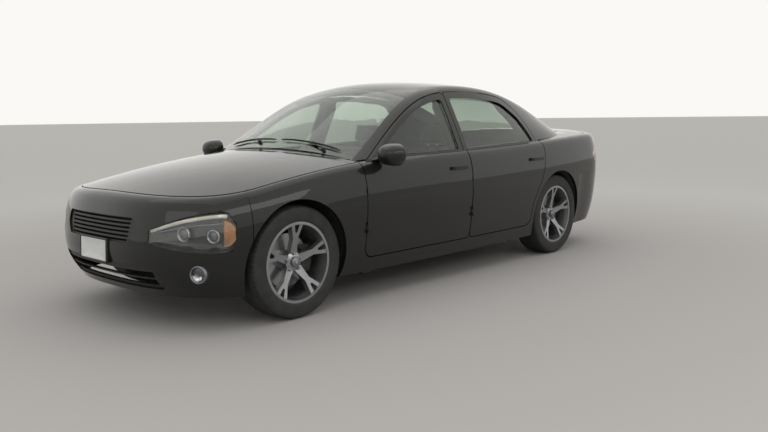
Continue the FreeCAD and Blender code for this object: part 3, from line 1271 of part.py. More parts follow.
hub = turned([(disc_x - size("disc_thickness") / 2, size("bore_radius")), (disc_x - size("disc_thickness") / 2, size("hub_radius")),
              (hub_face * 0.3, size("hub_radius")), (hub_face + RIM, size("hub_radius") * 0.85), (hub_face + 2 * RIM, size("hub_radius") * 0.5),
              (hub_face + 2 * RIM, 0), (hub_face + WELD, 0), (hub_face + WELD, size("bore_radius"))])
disc = turned([(disc_x - size("disc_thickness") / 2, size("hub_radius") * 0.8), (disc_x - size("disc_thickness") / 2, size("disc_radius")),
               (disc_x + size("disc_thickness") / 2, size("disc_radius")), (disc_x + size("disc_thickness") / 2, size("hub_radius") * 0.8)])
dish_inner = hub_face * 0.35
SPOKE_SHARES = [(0.20, -0.115), (0.60, -0.075), (0.98, -0.200), (0.98, 0.200), (0.60, 0.075), (0.20, 0.115)]
notch_shares = [(0.62, 0.0), (0.98, -0.085), (0.98, 0.085)]
spoke_face = turned([(dish_inner, size("hub_radius") * 0.6), (hub_face + RIM, size("hub_radius") * 0.6), (rim_half - RIM / 2, BEAD - RIM * 0.8),
                     (rim_half * 0.55, BEAD - RIM * 0.8)])


def star_plate(shares, turn):
    """Outline (share of the rim radius outward, share sideways) extruded through the wheel, turned about X."""
    corners = [(Vector(-half_tyre, side * BEAD, r * BEAD), RIM) for r, side in shares]
    plate = Part.Face(rounded_wire(corners)).extrude(Vector(2 * half_tyre, 0, 0))
    plate.rotate(Vector(0, 0, 0), Vector(1, 0, 0), turn)
    return plate


spokes = None
count = int(size("spoke_count"))
for i in range(count):
    turn = 360.0 * i / count
    spoke = star_plate(SPOKE_SHARES, turn).cut(star_plate(notch_shares, turn)).common(spoke_face)
    spokes = spoke if spokes is None else spokes.fuse(spoke)
rim = one_solid(barrel.fuse([hub, disc]).fuse(spokes))

# Seats
floor_top = up(0.150)
SEAT_SHARES = [(0.405, 0.225), (0.405, 0.290), (0.500, 0.275), (0.512, 0.330), (0.545, 0.640), (0.570, 0.640),
               (0.545, 0.300), (0.535, 0.200)]
seat_profile = [(at(y), up(z), up(0.02)) for y, z in SEAT_SHARES]
HEADREST_SHARES = [(0.551, 0.660), (0.556, 0.760), (0.578, 0.765), (0.578, 0.665)]
headrest_profile = [(at(y), up(z), up(0.02)) for y, z in HEADREST_SHARES]
seat_half = out(0.27)
seat_x = out(0.40)
front_seat = across_prism(seat_profile, seat_half, seat_x).fuse(
    [across_prism(headrest_profile, seat_half / 2, seat_x),
     box(seat_x - seat_half / 4, seat_x + seat_half / 4, at(0.556), at(0.562), up(0.60), up(0.70)),
     box(seat_x - seat_half * 0.8, seat_x - seat_half * 0.6, at(0.415), at(0.530), floor_top + WELD, up(0.24)),
     box(seat_x + seat_half * 0.6, seat_x + seat_half * 0.8, at(0.415), at(0.530), floor_top + WELD, up(0.24))])
front_seat = one_solid(front_seat)
front_seats = Part.makeCompound([front_seat, mirrored(front_seat)])
REAR_SEAT_SHARES = [(0.630, 0.1505), (0.630, 0.320), (0.720, 0.300), (0.752, 0.610), (0.774, 0.610), (0.745, 0.270), (0.700, 0.2395), (0.6995, 0.1505)]
rear_seat_profile = [(at(y), up(z), up(0.015)) for y, z in REAR_SEAT_SHARES]
rear_seat = across_prism(rear_seat_profile, out(0.66)).cut(floor_pan)
rear_seat = one_solid(rear_seat.cut(Part.makeCylinder(ARCH_RADIUS + LINER + WELD, HALF, Vector(
    LINER_X - WELD, REAR_AXLE, AXLE_HEIGHT), Vector(1, 0, 0))).cut(Part.makeCylinder(ARCH_RADIUS + LINER + WELD, HALF, Vector(
        -LINER_X + WELD, REAR_AXLE, AXLE_HEIGHT), Vector(-1, 0, 0))))

# Dashboard with column
DASH_SHARES = [(0.2710, 0.500), (0.2710, 0.590), (0.330, 0.655), (0.352, 0.640), (0.357, 0.590), (0.330, 0.520), (0.300, 0.470)]
dash_profile = [(at(y), up(z), up(0.02)) for y, z in DASH_SHARES]
dashboard = across_prism(dash_profile, out(0.755)).cut(house(-OVERRUN / 3, HOUSE_WRAP + GAP))
WHEEL_CENTRE = Vector(seat_x, at(0.384), up(0.535))
COLUMN_TURN = math.radians(size("column_angle"))
column_axis = Vector(0, math.cos(COLUMN_TURN), math.sin(COLUMN_TURN))
column_root = WHEEL_CENTRE - column_axis * size("column_length")
column_end = WHEEL_CENTRE - column_axis * (size("grip_radius") + WELD)
dashboard = one_solid(one_solid(dashboard).fuse(cylinder(size("pipe_radius"), column_root, column_end)))
console = box(-tunnel_half * 0.8, tunnel_half * 0.8, at(0.33), at(0.53), tunnel_top + WELD, tunnel_top + up(0.06))
console = one_solid(console.cut(dashboard))

# Steering wheel
grip = Part.makeTorus(size("wheel_grip_circle"), size("grip_radius"), WHEEL_CENTRE, column_axis)
boss = cylinder(size("pipe_radius") * 1.6, WHEEL_CENTRE - column_axis * size("grip_radius"), WHEEL_CENTRE + column_axis * size("grip_radius"))
steering_wheel = grip.fuse(boss)
sideways = Vector(1, 0, 0)
downward = column_axis.cross(sideways)
for arm_end in (sideways, sideways * -1, downward):
    steering_wheel = steering_wheel.fuse(cylinder(size("grip_radius") * 0.7, WHEEL_CENTRE, WHEEL_CENTRE + arm_end * size("wheel_grip_circle")))
steering_wheel = one_solid(steering_wheel)

# Door hinges, pulls and mirrors
HINGE_R = size("hinge_radius")
HINGE_SHARES = (0.31, 0.455)
HOOD_HINGE_SHARE = 0.79
LID_HINGE_SHARE = 0.16
JACK_SHARES = (0.04, 0.87)
JACK_PLACE_SHARE = 0.860


def hinge_place(seam, aft):
    """Hinge line in the gap beside a seam: outside the skin's widest point."""
    widest = max(wall_point(girth_at(seam), s).x for s in spread(0.2, 0.9, 15))
    return Vector(widest + size("hinge_standoff"), seam + (GAP / 2 if aft else -GAP / 2), 0)


def hinge_pair(line, foot_slope):
    """Body leaf with pin and two knuckles, and door knuckle with its leaf, at two heights."""
    fixed, moving = None, None
    reach = size("door_thickness") + GAP + size("pillar_depth") / 2
    leaf = GAP / 5
    for share in HINGE_SHARES:
        low = up(share)
        step = size("hinge_knuckle")
        base = Vector(line.x, line.y, low)
        pin = cylinder(HINGE_R / 2, base, base + Vector(0, 0, 3 * step))
        ends = [cylinder(HINGE_R, base, base + Vector(0, 0, step - WELD)),
                cylinder(HINGE_R, base + Vector(0, 0, 2 * step + WELD), base + Vector(0, 0, 3 * step))]
        inner = line.x - reach
        corners = [(Vector(line.x, line.y - leaf / 2, low), 0), (Vector(line.x, line.y + leaf / 2, low), 0),
                   (Vector(inner, line.y + leaf / 2 - foot_slope * reach, low), 0),
                   (Vector(inner, line.y - leaf / 2 - foot_slope * reach, low), 0)]
        plate = Part.Face(rounded_wire(corners)).extrude(Vector(0, 0, 3 * step))
        notch = box(line.x - 3 * HINGE_R, line.x + 3 * HINGE_R, line.y - 3 * HINGE_R, line.y + 3 * HINGE_R, low + step - WELD,
                    low + 2 * step + WELD)
        body_half = plate.cut(notch).fuse(ends + [pin])
        knuckle_ring = cylinder(HINGE_R, base + Vector(0, 0, step), base + Vector(0, 0, 2 * step))
        tongue = box(line.x - 2.5 * HINGE_R, line.x, line.y - leaf / 2, line.y + 1.5 * GAP, low + step, low + 2 * step)
        door_half = knuckle_ring.fuse(tongue).cut(cylinder(HINGE_R / 2 + WELD, base, base + Vector(0, 0, 3 * step)))
        fixed = body_half if fixed is None else fixed.fuse(body_half)
        moving = door_half if moving is None else moving.fuse(door_half)
    return fixed, moving


front_hinge_line = hinge_place(DOOR_LEAD, False)
rear_hinge_line = hinge_place(PILLAR_LINE, True)
front_fixed, front_moving = hinge_pair(front_hinge_line, LOWER_SLANT_SHARE)
rear_fixed, rear_moving = hinge_pair(rear_hinge_line, LOWER_SLANT_SHARE)


def pull(y_end, z):
    """Door pull: a bar that stands off the skin, open behind."""
    length, reach, bar = size("pull_length"), size("pull_reach"), size("pull_bar")
    skin = wall_x(y_end - length / 2, z)
    outer = [(skin - bar, y_end - length, 0), (skin + reach - bar, y_end - length, bar), (skin + reach, y_end - length + 2 * bar, bar),
             (skin + reach, y_end - 2 * bar, bar), (skin + reach - bar, y_end, bar), (skin - bar, y_end, 0)]
    inner = [(skin - 2 * bar, y_end - length + 2 * bar, 0), (skin + reach - bar, y_end - length + 2 * bar, bar / 2),
             (skin + reach - bar, y_end - 2 * bar, bar / 2), (skin - 2 * bar, y_end - 2 * bar, 0)]
    return plan_cutter(outer, z - bar, z + bar).cut(plan_cutter(inner, z - 2 * bar, z + 2 * bar)).cut(wall_core)


wall_core = side_wall(PANEL, WRAP)
PULL_HEIGHT_SHARE = 0.560
front_door = front_door.fuse([front_moving, pull(PILLAR_LINE - FRAME, up(PULL_HEIGHT_SHARE))])
rear_door = rear_door.fuse([rear_moving, pull(belt_end - FRAME, up(PULL_HEIGHT_SHARE + 0.01))])
front_door = one_solid(front_door)
rear_door = one_solid(rear_door)
body_side = body_side.fuse([front_fixed, rear_fixed])

# Hinges of hood and lid, in their shut gaps
LUG_HALF = size("hinge_knuckle") / 2


def gap_hinge(x, y, z, way):
    """Small hinge about X in a shut gap: a lug on the moving panel towards way, and two ears with the pin."""
    start, end = Vector(x - LUG_HALF, y, z), Vector(x + LUG_HALF, y, z)
    slip = Vector(WELD, 0, 0)
    overrun = Vector(GAP, 0, 0)
    leaf = 4 * HINGE_R
    lug = cylinder(HINGE_R, start + slip, end - slip).fuse(
        box(start.x + WELD, end.x - WELD, min(y, y + way * 2 * GAP), max(y, y + way * 2 * GAP), z - leaf, z))
    lug = lug.cut(cylinder(HINGE_R / 2 + WELD, start - overrun, end + overrun))
    ears = cylinder(HINGE_R / 2, start - overrun, end + overrun)
    for inner in (start.x - GAP, end.x):
        near, far = y + way * HINGE_R / 2, y - way * 2 * GAP
        ears = ears.fuse(box(inner, inner + GAP, min(near, far), max(near, far), z - leaf, z + HINGE_R / 2))
    return lug, ears


hood_hinge_x = out(HOOD_HINGE_SHARE)
HOOD_AXIS = (corner, top_height(hood_hinge_x, corner) - HINGE_R / 2)
hood_lug, hood_ears = gap_hinge(hood_hinge_x, HOOD_AXIS[0], HOOD_AXIS[1], -1)
hood = one_solid(hood.fuse([hood_lug, mirrored(hood_lug)]))
body_side = one_solid(body_side.fuse(hood_ears))
LID_AXIS = (lid_front, top_height(0, lid_front) + HINGE_R / 2)
lid_lug, lid_ears = gap_hinge(out(LID_HINGE_SHARE), LID_AXIS[0], LID_AXIS[1], 1)
lid = one_solid(lid.fuse([lid_lug, mirrored(lid_lug)]))
rear_shelf = one_solid(rear_shelf.fuse([lid_ears, mirrored(lid_ears)]))

# Room for the front door's upper front corner, which swings past the pillar's foot
CORNER_ROOM_SHARES = (0.841, 0.855, 0.6130, 0.6190)
corner_room = box(out(CORNER_ROOM_SHARES[0]), out(CORNER_ROOM_SHARES[1]), DOOR_LEAD - GAP, DOOR_LEAD + 4 * GAP,
                  up(CORNER_ROOM_SHARES[2]), up(CORNER_ROOM_SHARES[3]))
body_side = one_solid(body_side.cut(corner_room))

# Jacking pads under the rocker
PAD = size("jack_pad")
for share in JACK_SHARES:
    pad_y = DOOR_LEAD + share * (DOOR_END - DOOR_LEAD)
    pad = box(out(JACK_PLACE_SHARE) - PAD / 2, out(JACK_PLACE_SHARE) + PAD / 2, pad_y - PAD, pad_y + PAD,
              size("jack_height"), size("jack_height") + PAD)
    body_side = one_solid(body_side.fuse(pad))

# Mirrors on the front doors: a ball with a flat rear face, stretched to the housing's three reaches
MIRROR_PLACE_SHARES = (1.055, 0.3175, 0.648)
MIRROR_SIZE_SHARES = (0.105, 0.0150, 0.050)
MIRROR_FACE_SHARE = 0.53
STALK_ROOT_SHARE = 0.624
STALK_TIP_SHARE = 0.640
mirror_reach = up(MIRROR_SIZE_SHARES[2])
mirror_y = at(MIRROR_PLACE_SHARES[1])
ball = Part.makeSphere(mirror_reach)
ball = ball.cut(box(-mirror_reach, mirror_reach, mirror_reach * MIRROR_FACE_SHARE, mirror_reach,
                    -mirror_reach, mirror_reach))
stretch = FreeCAD.Matrix()
stretch.scale(out(MIRROR_SIZE_SHARES[0]) / mirror_reach, LENGTH * MIRROR_SIZE_SHARES[1] / mirror_reach, 1)
stretch.move(Vector(out(MIRROR_PLACE_SHARES[0]), mirror_y, up(MIRROR_PLACE_SHARES[2])))
housing = ball.transformGeometry(stretch)
stalk_root = house_x(mirror_y, up(STALK_ROOT_SHARE)) - size("frame_thickness") / 2
stalk = cylinder(size("arm_thickness") * 0.6, Vector(stalk_root, mirror_y, up(STALK_ROOT_SHARE)),
                 Vector(out(1.0), mirror_y, up(STALK_TIP_SHARE)))
mirror_part = one_solid(housing.fuse(one_solid(stalk.cut(front_door))))

# Kept pieces
keep_pair("body_side", body_side)
keep("roof_panel", roof)
keep("floor_pan", one_solid(floor_pan.cut(rear_bumper).cut(body_side).cut(mirrored(body_side))))
keep("front_structure", one_solid(front_structure.cut([front_bumper, headlamp, mirrored(headlamp)])))
keep("rear_shelf", rear_shelf)
keep_pair("front_fender", fender)
keep("front_bumper", front_bumper)
keep("rear_bumper", rear_bumper)
keep("front_grille", front_grille)
keep("headlamps", headlamps)
keep("tail_lamps", tail_lamps)
keep("hood", hood)
keep("trunk_lid", lid)
keep("cowl_panel", cowl)
keep("windshield", windscreen)
keep("rear_window", rear_window)
keep_pair("front_door", front_door)
keep_pair("rear_door", rear_door)
keep_pair("front_door_glass", front_glass)
keep_pair("rear_door_glass", rear_glass)
keep_pair("mirror", mirror_part)
keep("engine_block", engine)
keep("exhaust", exhaust)
keep("fuel_tank", tank)
keep("front_suspension", front_suspension)
keep("rear_suspension", rear_suspension)
keep_pair("front_knuckle", knuckle)
keep("front_seats", front_seats)
keep("rear_seat", rear_seat)
keep("dashboard", dashboard)
keep("center_console", console)
keep("steering_wheel", steering_wheel)
for place, axle in (("front", FRONT_AXLE), ("rear", REAR_AXLE)):
    for side_name, side in (("left", 1), ("right", -1)):
        placed_wheel("%s_%s_tyre" % (place, side_name), tyre, side, axle)
        placed_wheel("%s_%s_rim" % (place, side_name), rim, side, axle)


def write_parts():
    """Checks every object, then writes each sub-part."""
    doc.recompute()
    for thing in doc.Objects:
        if "Invalid" in thing.State or "Error" in thing.State:
            raise ValueError("%s failed" % thing.Label)
    os.makedirs("parts", exist_ok=True)
    for label, feature in KEPT.items():
        shape = feature.Shape
        if shape.isNull() or not shape.isValid():
            raise ValueError("%s has no valid shape" % label)
        shape.exportStep(os.path.join("parts", label + ".step"))


write_parts()
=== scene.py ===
"""Full-size four-door sedan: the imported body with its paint, glass, lamps, tyres, seats and trim."""
import json
import math

import bpy
import numpy as np
from mathutils import Matrix, Vector


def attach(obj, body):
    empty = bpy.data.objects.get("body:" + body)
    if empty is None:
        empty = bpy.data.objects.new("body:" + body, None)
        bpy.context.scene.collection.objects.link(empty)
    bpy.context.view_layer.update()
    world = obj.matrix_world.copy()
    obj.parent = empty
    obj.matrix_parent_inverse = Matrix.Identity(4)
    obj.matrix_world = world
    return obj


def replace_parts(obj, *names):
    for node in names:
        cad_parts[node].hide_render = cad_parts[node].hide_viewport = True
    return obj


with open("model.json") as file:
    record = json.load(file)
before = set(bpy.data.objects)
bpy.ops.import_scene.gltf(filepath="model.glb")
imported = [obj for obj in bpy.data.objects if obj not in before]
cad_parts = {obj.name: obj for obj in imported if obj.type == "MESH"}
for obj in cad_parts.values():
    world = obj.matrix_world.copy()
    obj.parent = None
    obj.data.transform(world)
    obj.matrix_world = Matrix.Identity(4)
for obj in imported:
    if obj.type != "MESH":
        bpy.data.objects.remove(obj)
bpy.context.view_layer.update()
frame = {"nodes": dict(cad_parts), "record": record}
nodes = frame["nodes"]

# Car sizes in metres, the same as the solids'.
LENGTH, HALF, HEIGHT = 4.720, 0.915, 1.440
NOSE, TAIL = -LENGTH / 2, LENGTH / 2
FRONT_AXLE, REAR_AXLE, AXLE_HEIGHT = -1.550, 1.310, 0.335
WHEEL_X = 0.7645
SEAT_X = 0.40 * HALF
LAMP_ANGLE = math.radians(40)
NOSE_POWER = 2.7
BELT_DROP, RAIL_REACH, FLANK_SWELL = 0.075 * HEIGHT, 0.055 * HALF, 0.048 * HALF


# ---------- master lines ----------
def line_through(table):
    """Natural cubic through the points of a table: on each span value + slope t + bend t^2 + cube t^3."""
    x, v = np.array(table, float).T
    h = np.diff(x)
    n = len(x)
    rows = np.eye(n)
    right = np.zeros(n)
    for i in range(1, n - 1):
        rows[i, i - 1:i + 2] = h[i - 1], 2 * (h[i - 1] + h[i]), h[i]
        right[i] = 3 * ((v[i + 1] - v[i]) / h[i] - (v[i] - v[i - 1]) / h[i - 1])
    bend = np.linalg.solve(rows, right)
    slope = np.diff(v) / h - h * (2 * bend[:-1] + bend[1:]) / 3
    cube = np.diff(bend) / (3 * h)

    def at(place):
        i = np.clip(np.searchsorted(x, place) - 1, 0, n - 2)
        t = np.asarray(place, float) - x[i]
        return v[i] + t * (slope[i] + t * (bend[i] + t * cube[i]))

    return at


width = line_through([
    (0.0, 0.935), (0.10, 0.967), (0.20, 0.986), (0.35, 0.995), (0.5, 1.0), (0.65, 1.0), (0.78, 0.994),
    (0.90, 0.962), (1.0, 0.915)])
shoulder_line = line_through([
    (0.0, 0.470), (0.05, 0.500), (0.17, 0.572), (0.30, 0.620), (0.50, 0.640), (0.70, 0.660), (0.80, 0.674),
    (0.90, 0.688), (1.0, 0.694)])
crown_line = line_through([
    (0.0, 0.505), (0.05, 0.553), (0.10, 0.593), (0.17, 0.632), (0.25, 0.664), (0.32, 0.682), (0.60, 0.700),
    (0.86, 0.722), (0.94, 0.727), (1.0, 0.717)])
sill_line = line_through([
    (0.0, 0.140), (0.08, 0.132), (0.20, 0.132), (0.5, 0.128), (0.8, 0.140), (0.92, 0.155), (1.0, 0.172)])
rise_of = line_through([
    (0.0, 0.0), (0.15, 0.16), (0.35, 0.38), (0.55, 0.60), (0.70, 0.76), (0.82, 0.885), (0.91, 0.96), (1.0, 1.0)])
inset_of = line_through([
    (0.0, 0.078), (0.12, 0.047), (0.30, 0.022), (0.50, 0.004), (0.60, 0.0), (0.70, 0.004), (0.80, 0.015),
    (0.90, 0.038), (1.0, 0.080)])
nose_back = line_through([
    (0.0, 0.022), (0.20, 0.006), (0.40, 0.0), (0.60, 0.002), (0.80, 0.007), (0.92, 0.014), (1.0, 0.024)])
tail_back = line_through([
    (0.0, 0.020), (0.20, 0.005), (0.40, 0.0), (0.60, 0.004), (0.80, 0.008), (0.92, 0.012), (1.0, 0.022)])
rail_width = line_through([
    (0.25, 0.895), (0.303, 0.842), (0.352, 0.782), (0.436, 0.700), (0.479, 0.674), (0.542, 0.656), (0.627, 0.646),
    (0.70, 0.634), (0.775, 0.624), (0.84, 0.622), (0.90, 0.625)])
rail_height = line_through([
    (0.25, 0.550), (0.303, 0.640), (0.352, 0.742), (0.436, 0.900), (0.479, 0.944), (0.542, 0.965), (0.627, 0.958),
    (0.70, 0.922), (0.775, 0.848), (0.84, 0.757), (0.90, 0.664)])
ridge_line = line_through([
    (0.25, 0.632), (0.30, 0.731), (0.352, 0.829), (0.41, 0.930), (0.436, 0.962), (0.479, 0.989), (0.542, 1.0),
    (0.627, 0.991), (0.70, 0.955), (0.775, 0.880), (0.84, 0.792), (0.90, 0.704)])
NOSE_TANGENT = NOSE + 0.135 * LENGTH
TAIL_TANGENT = TAIL - 0.105 * LENGTH


def along(y):
    """Place along the car from 0 at the nose to 1 at the tail."""
    return (np.asarray(y, float) - NOSE) / LENGTH


def at(share):
    """Place along the car from its share of the length."""
    return NOSE + share * LENGTH


def shoulder(y):
    """Height of the side's top edge."""
    return HEIGHT * shoulder_line(along(y))


def top_height(x, y):
    """Hood and deck: from the shoulder up to the crown by 1 - (x / edge)^2."""
    edge = HALF * (width(along(y)) - inset_of(1.0))
    return shoulder(y) + (HEIGHT * crown_line(along(y)) - shoulder(y)) * (1 - (x / edge) ** 2)


def side_point(girth, step):
    """Body side. Girth -1 to 0 follows a superellipse |a|^2.7 + |b|^2.7 = 1 round the nose, 0 to 1 the straight side,
    1 to 2 the tail; step 0 to 1 climbs from sill to shoulder."""
    girth, step = np.broadcast_arrays(np.asarray(girth, float), np.asarray(step, float))
    turn = np.where(girth < 0, 1 + girth, np.where(girth > 1, 2 - girth, 1.0)) * math.pi / 2
    across, ahead = np.sin(turn), np.abs(np.cos(turn))
    radius = (np.abs(across) ** NOSE_POWER + ahead ** NOSE_POWER) ** (-1 / NOSE_POWER)
    across, ahead = radius * across, radius * ahead
    front = NOSE_TANGENT - (NOSE_TANGENT - NOSE - LENGTH * nose_back(step)) * ahead
    rear = TAIL_TANGENT + (TAIL - LENGTH * tail_back(step) - TAIL_TANGENT) * ahead
    middle = NOSE_TANGENT + (TAIL_TANGENT - NOSE_TANGENT) * girth
    y = np.where(girth < 0, front, np.where(girth > 1, rear, middle))
    across = np.where((girth >= 0) & (girth <= 1), 1.0, across)
    x = HALF * (width(along(y)) - inset_of(step)) * across
    low = HEIGHT * sill_line(along(y))
    z = low + (top_height(x, y) - low) * rise_of(step)
    return np.stack([x, y, z], -1)


def side_outward(girth, step):
    """Level outward direction of the body side: the girth direction turned a quarter."""
    course = side_point(girth + 1e-4, step) - side_point(girth - 1e-4, step)
    return unit(np.stack([course[..., 1], -course[..., 0], np.zeros_like(course[..., 0])], -1))


def halved(low, high, below, rounds=24):
    """Where a rising test flips, found by halving the range over and over."""
    low, high = np.array(low, float), np.array(high, float)
    for _ in range(rounds):
        middle = (low + high) / 2
        under = below(middle)
        low, high = np.where(under, middle, low), np.where(under, high, middle)
    return (low + high) / 2


def step_at(girth, z):
    """Step of the side at a height."""
    return halved(np.zeros_like(girth), np.ones_like(girth), lambda s: side_point(girth, s)[..., 2] < z)


def lamp_spot(u, z, front=True):
    """Girth and step of the skin at a distance u across the lamps' sight line and a height z."""
    u, z = np.broadcast_arrays(np.asarray(u, float), np.asarray(z, float))
    way = 1 if front else -1
    tip = NOSE if front else TAIL

    def reach(girth):
        p = side_point(girth, step_at(girth, z))
        return p[..., 0] * math.cos(LAMP_ANGLE) + way * (p[..., 1] - tip) * math.sin(LAMP_ANGLE)

    if front:
        girth = halved(np.full(u.shape, -1.0), np.full(u.shape, 0.5), lambda g: reach(g) < u)
    else:
        girth = halved(np.full(u.shape, 0.5), np.full(u.shape, 2.0), lambda g: reach(g) > u)
    return girth, step_at(girth, z)


def flank_spot(y, z):
    """Girth and step of the straight side at a place and height."""
    girth = (np.asarray(y, float) - NOSE_TANGENT) / (TAIL_TANGENT - NOSE_TANGENT)
    girth, z = np.broadcast_arrays(girth, np.asarray(z, float))
    return girth, step_at(girth, z)


def cabin_point(y, girth, depth=0.0):
    """Greenhouse: girth 0 at its root, 1 to 2 round the rail by a quadratic blend, 3 on the centre line."""
    y, girth = np.broadcast_arrays(np.asarray(y, float), np.asarray(girth, float))
    place = along(y)
    rail_x, rail_z = HALF * rail_width(place), HEIGHT * rail_height(place)
    belt_x = HALF * (width(place) - inset_of(1.0)) - 0.010 * HALF
    rise = np.maximum(rail_z - shoulder(y), BELT_DROP)
    root_x = belt_x + np.minimum((belt_x - rail_x) / rise, 0.35) * BELT_DROP - depth
    root_z = np.minimum(shoulder(y), rail_z) - BELT_DROP - depth / 2
    crown = HEIGHT * ridge_line(place) - rail_z
    rail_x, rail_z = rail_x - depth, rail_z - depth
    reach = max(RAIL_REACH - depth / 2, RAIL_REACH / 3)
    side_x, side_z = rail_x - root_x, rail_z - root_z
    lower = 1 - reach / np.hypot(side_x, side_z)

    def flank(share):
        bulge = FLANK_SWELL * share * (1 - share)
        return np.stack([root_x + side_x * share + bulge, y, root_z + side_z * share], -1)

    def top(share):
        return np.stack([rail_x * (1 - share), y, rail_z + crown * (1 - (1 - share) ** 2)], -1)

    inner = reach / rail_x
    t = np.clip(girth - 1, 0, 1)[..., None]
    bend = flank(lower) * (1 - t) ** 2 + np.stack([rail_x, y, rail_z], -1) * 2 * t * (1 - t) + top(inner) * t ** 2
    over = top(inner + (1 - inner) * np.clip(girth - 2, 0, 1))
    above = np.where((girth < 2)[..., None], bend, over)
    return np.where((girth <= 1)[..., None], flank(lower * np.clip(girth, 0, 1)), above)


# ---------- meshes ----------
def quads(rows, columns, close_rows=False, close_columns=False):
    """Four-cornered faces of a grid of points held row by row; a closed way joins its last line to its first."""
    i = np.arange(rows if close_rows else rows - 1)[:, None]
    j = np.arange(columns if close_columns else columns - 1)[None, :]
    i2, j2 = (i + 1) % rows, (j + 1) % columns
    return np.stack([i * columns + j, i2 * columns + j, i2 * columns + j2, i * columns + j2], -1).reshape(-1, 4)


def unit(v):
    """Vectors scaled to length 1."""
    return np.asarray(v, float) / np.linalg.norm(v, axis=-1, keepdims=True)


def circle(count):
    """Angles of evenly spaced places round a circle."""
    return np.arange(count) * 2 * math.pi / count


def even(rows, columns):
    """Places (s, t) from 0 to 1 over a grid."""
    return np.meshgrid(np.linspace(0, 1, rows), np.linspace(0, 1, columns), indexing="ij")


def volume_of(points, faces):
    """Signed volume: a sixth of the sum of a . (b x c) over the triangles."""
    a, b, c, d = (points[faces[:, k]] for k in range(4))
    return float((np.sum(a * np.cross(b, c)) + np.sum(a * np.cross(c, d))) / 6)


def piece(name, part, finish, body="body", smooth=True):
    """Adds a mesh from points and faces, turned outwards, and lets it ride on its body."""
    points, faces = turned_out(part)
    mesh = bpy.data.meshes.new(name)
    mesh.from_pydata(points.tolist(), [], faces.tolist())
    mesh.materials.append(finish)
    mesh.polygons.foreach_set("use_smooth", np.full(len(faces), smooth))
    mesh.update()
    thing = bpy.data.objects.new(name, mesh)
    bpy.context.scene.collection.objects.link(thing)
    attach(thing, body)
    return thing


def joined(parts):
    """Several point and face sets as one."""
    points, faces, count = [], [], 0
    for p, f in parts:
        p = np.asarray(p, float).reshape(-1, 3)
        points.append(p)
        faces.append(np.asarray(f) + count)
        count += len(p)
    return np.concatenate(points), np.concatenate(faces)


def turned_out(part):
    """The part with its faces reversed where they enclose a negative volume."""
    points, faces = np.asarray(part[0], float).reshape(-1, 3), part[1]
    return (points, faces[:, ::-1]) if volume_of(points, faces) < 0 else (points, faces)


def gathered(grid):
    """Closed tube through the rings of a grid, its ends drawn together at their middles."""
    first, last = (end.mean(1, keepdims=True) + 0 * end for end in (grid[:1], grid[-1:]))
    grid = np.concatenate([first, grid, last])
    return turned_out((grid, quads(len(grid), grid.shape[1], close_columns=True)))


def sheet_shell(outer, inner):
    """Closed shell between two like grids: outer skin, inner skin, and the strip round their edge."""
    rows, columns = outer.shape[:2]
    ring = np.concatenate([np.arange(columns), np.arange(1, rows) * columns + columns - 1,
                           (rows - 1) * columns + np.arange(columns - 2, -1, -1),
                           np.arange(rows - 2, 0, -1) * columns])
    count = rows * columns
    after = np.roll(ring, -1)
    top = quads(rows, columns)
    rim = np.stack([ring + count, after + count, after, ring], -1)
    faces = np.concatenate([top, top[:, ::-1] + count, rim])
    return turned_out((np.concatenate([outer.reshape(-1, 3), inner.reshape(-1, 3)]), faces))


def swept(path, profile, across, closed=False):
    """Profile (a, b) carried along a path: point = path + a * sideways + b * across, where sideways = course x across.
    Open runs get their ends gathered to a point."""
    path = np.asarray(path, float)
    course = np.roll(path, -1, 0) - np.roll(path, 1, 0) if closed else np.gradient(path, axis=0)
    course = unit(course)
    across = np.broadcast_to(np.asarray(across, float), path.shape)
    across = unit(across - course * np.sum(across * course, 1, keepdims=True))
    sideways = np.cross(course, across)
    profile = np.asarray(profile, float)
    grid = path[:, None] + sideways[:, None] * profile[None, :, :1] + across[:, None] * profile[None, :, 1:]
    if not closed:
        return gathered(grid)
    return turned_out((grid, quads(len(grid), len(profile), close_rows=True, close_columns=True)))


def round_profile(radius, count=10, flat=1.0):
    """Ellipse of a radius, flattened across."""
    turn = circle(count)
    return np.stack([radius * np.cos(turn), radius * flat * np.sin(turn)], -1)


def turned(profile, centre, axis, count=48):
    """Profile (distance along the axis, radius) turned a full circle about an axis through a centre."""
    axis = unit(axis)
    side = unit(np.cross(axis, [0.0, 0.0, 1.0] if abs(axis[2]) < 0.9 else [1.0, 0.0, 0.0]))
    other = np.cross(axis, side)
    turn = circle(count)
    profile = np.asarray(profile, float)
    spoke = side[None, :] * np.cos(turn)[:, None] + other[None, :] * np.sin(turn)[:, None]
    grid = np.asarray(centre, float) + axis * profile[None, :, :1] + spoke[:, None, :] * profile[None, :, 1:]
    return turned_out((grid, quads(count, len(profile), close_rows=True, close_columns=True)))


def mirrored(part):
    """The part's mirror image on the right."""
    points, faces = np.asarray(part[0], float).reshape(-1, 3), part[1]
    return points * [-1, 1, 1], faces[:, ::-1]


def both(part):
    """The part and its mirror image on the right."""
    return joined([part, mirrored(part)])


def pillow(centre, half, power, rows=40, columns=64):
    """Superellipsoid x = a c(v) c(u), y = b c(v) s(u), z = c s(v), each sine and cosine raised to a power."""
    v = np.linspace(-math.pi / 2, math.pi / 2, rows)[:, None]
    u = circle(columns)[None, :]

    def eased(value):
        return np.sign(value) * np.abs(value) ** power

    x, y, z = eased(np.cos(v)) * eased(np.cos(u)), eased(np.cos(v)) * eased(np.sin(u)), eased(np.sin(v)) + 0 * u
    grid = np.asarray(centre, float) + np.stack([x, y, z], -1) * half
    return turned_out((grid, quads(rows, columns, close_columns=True)))


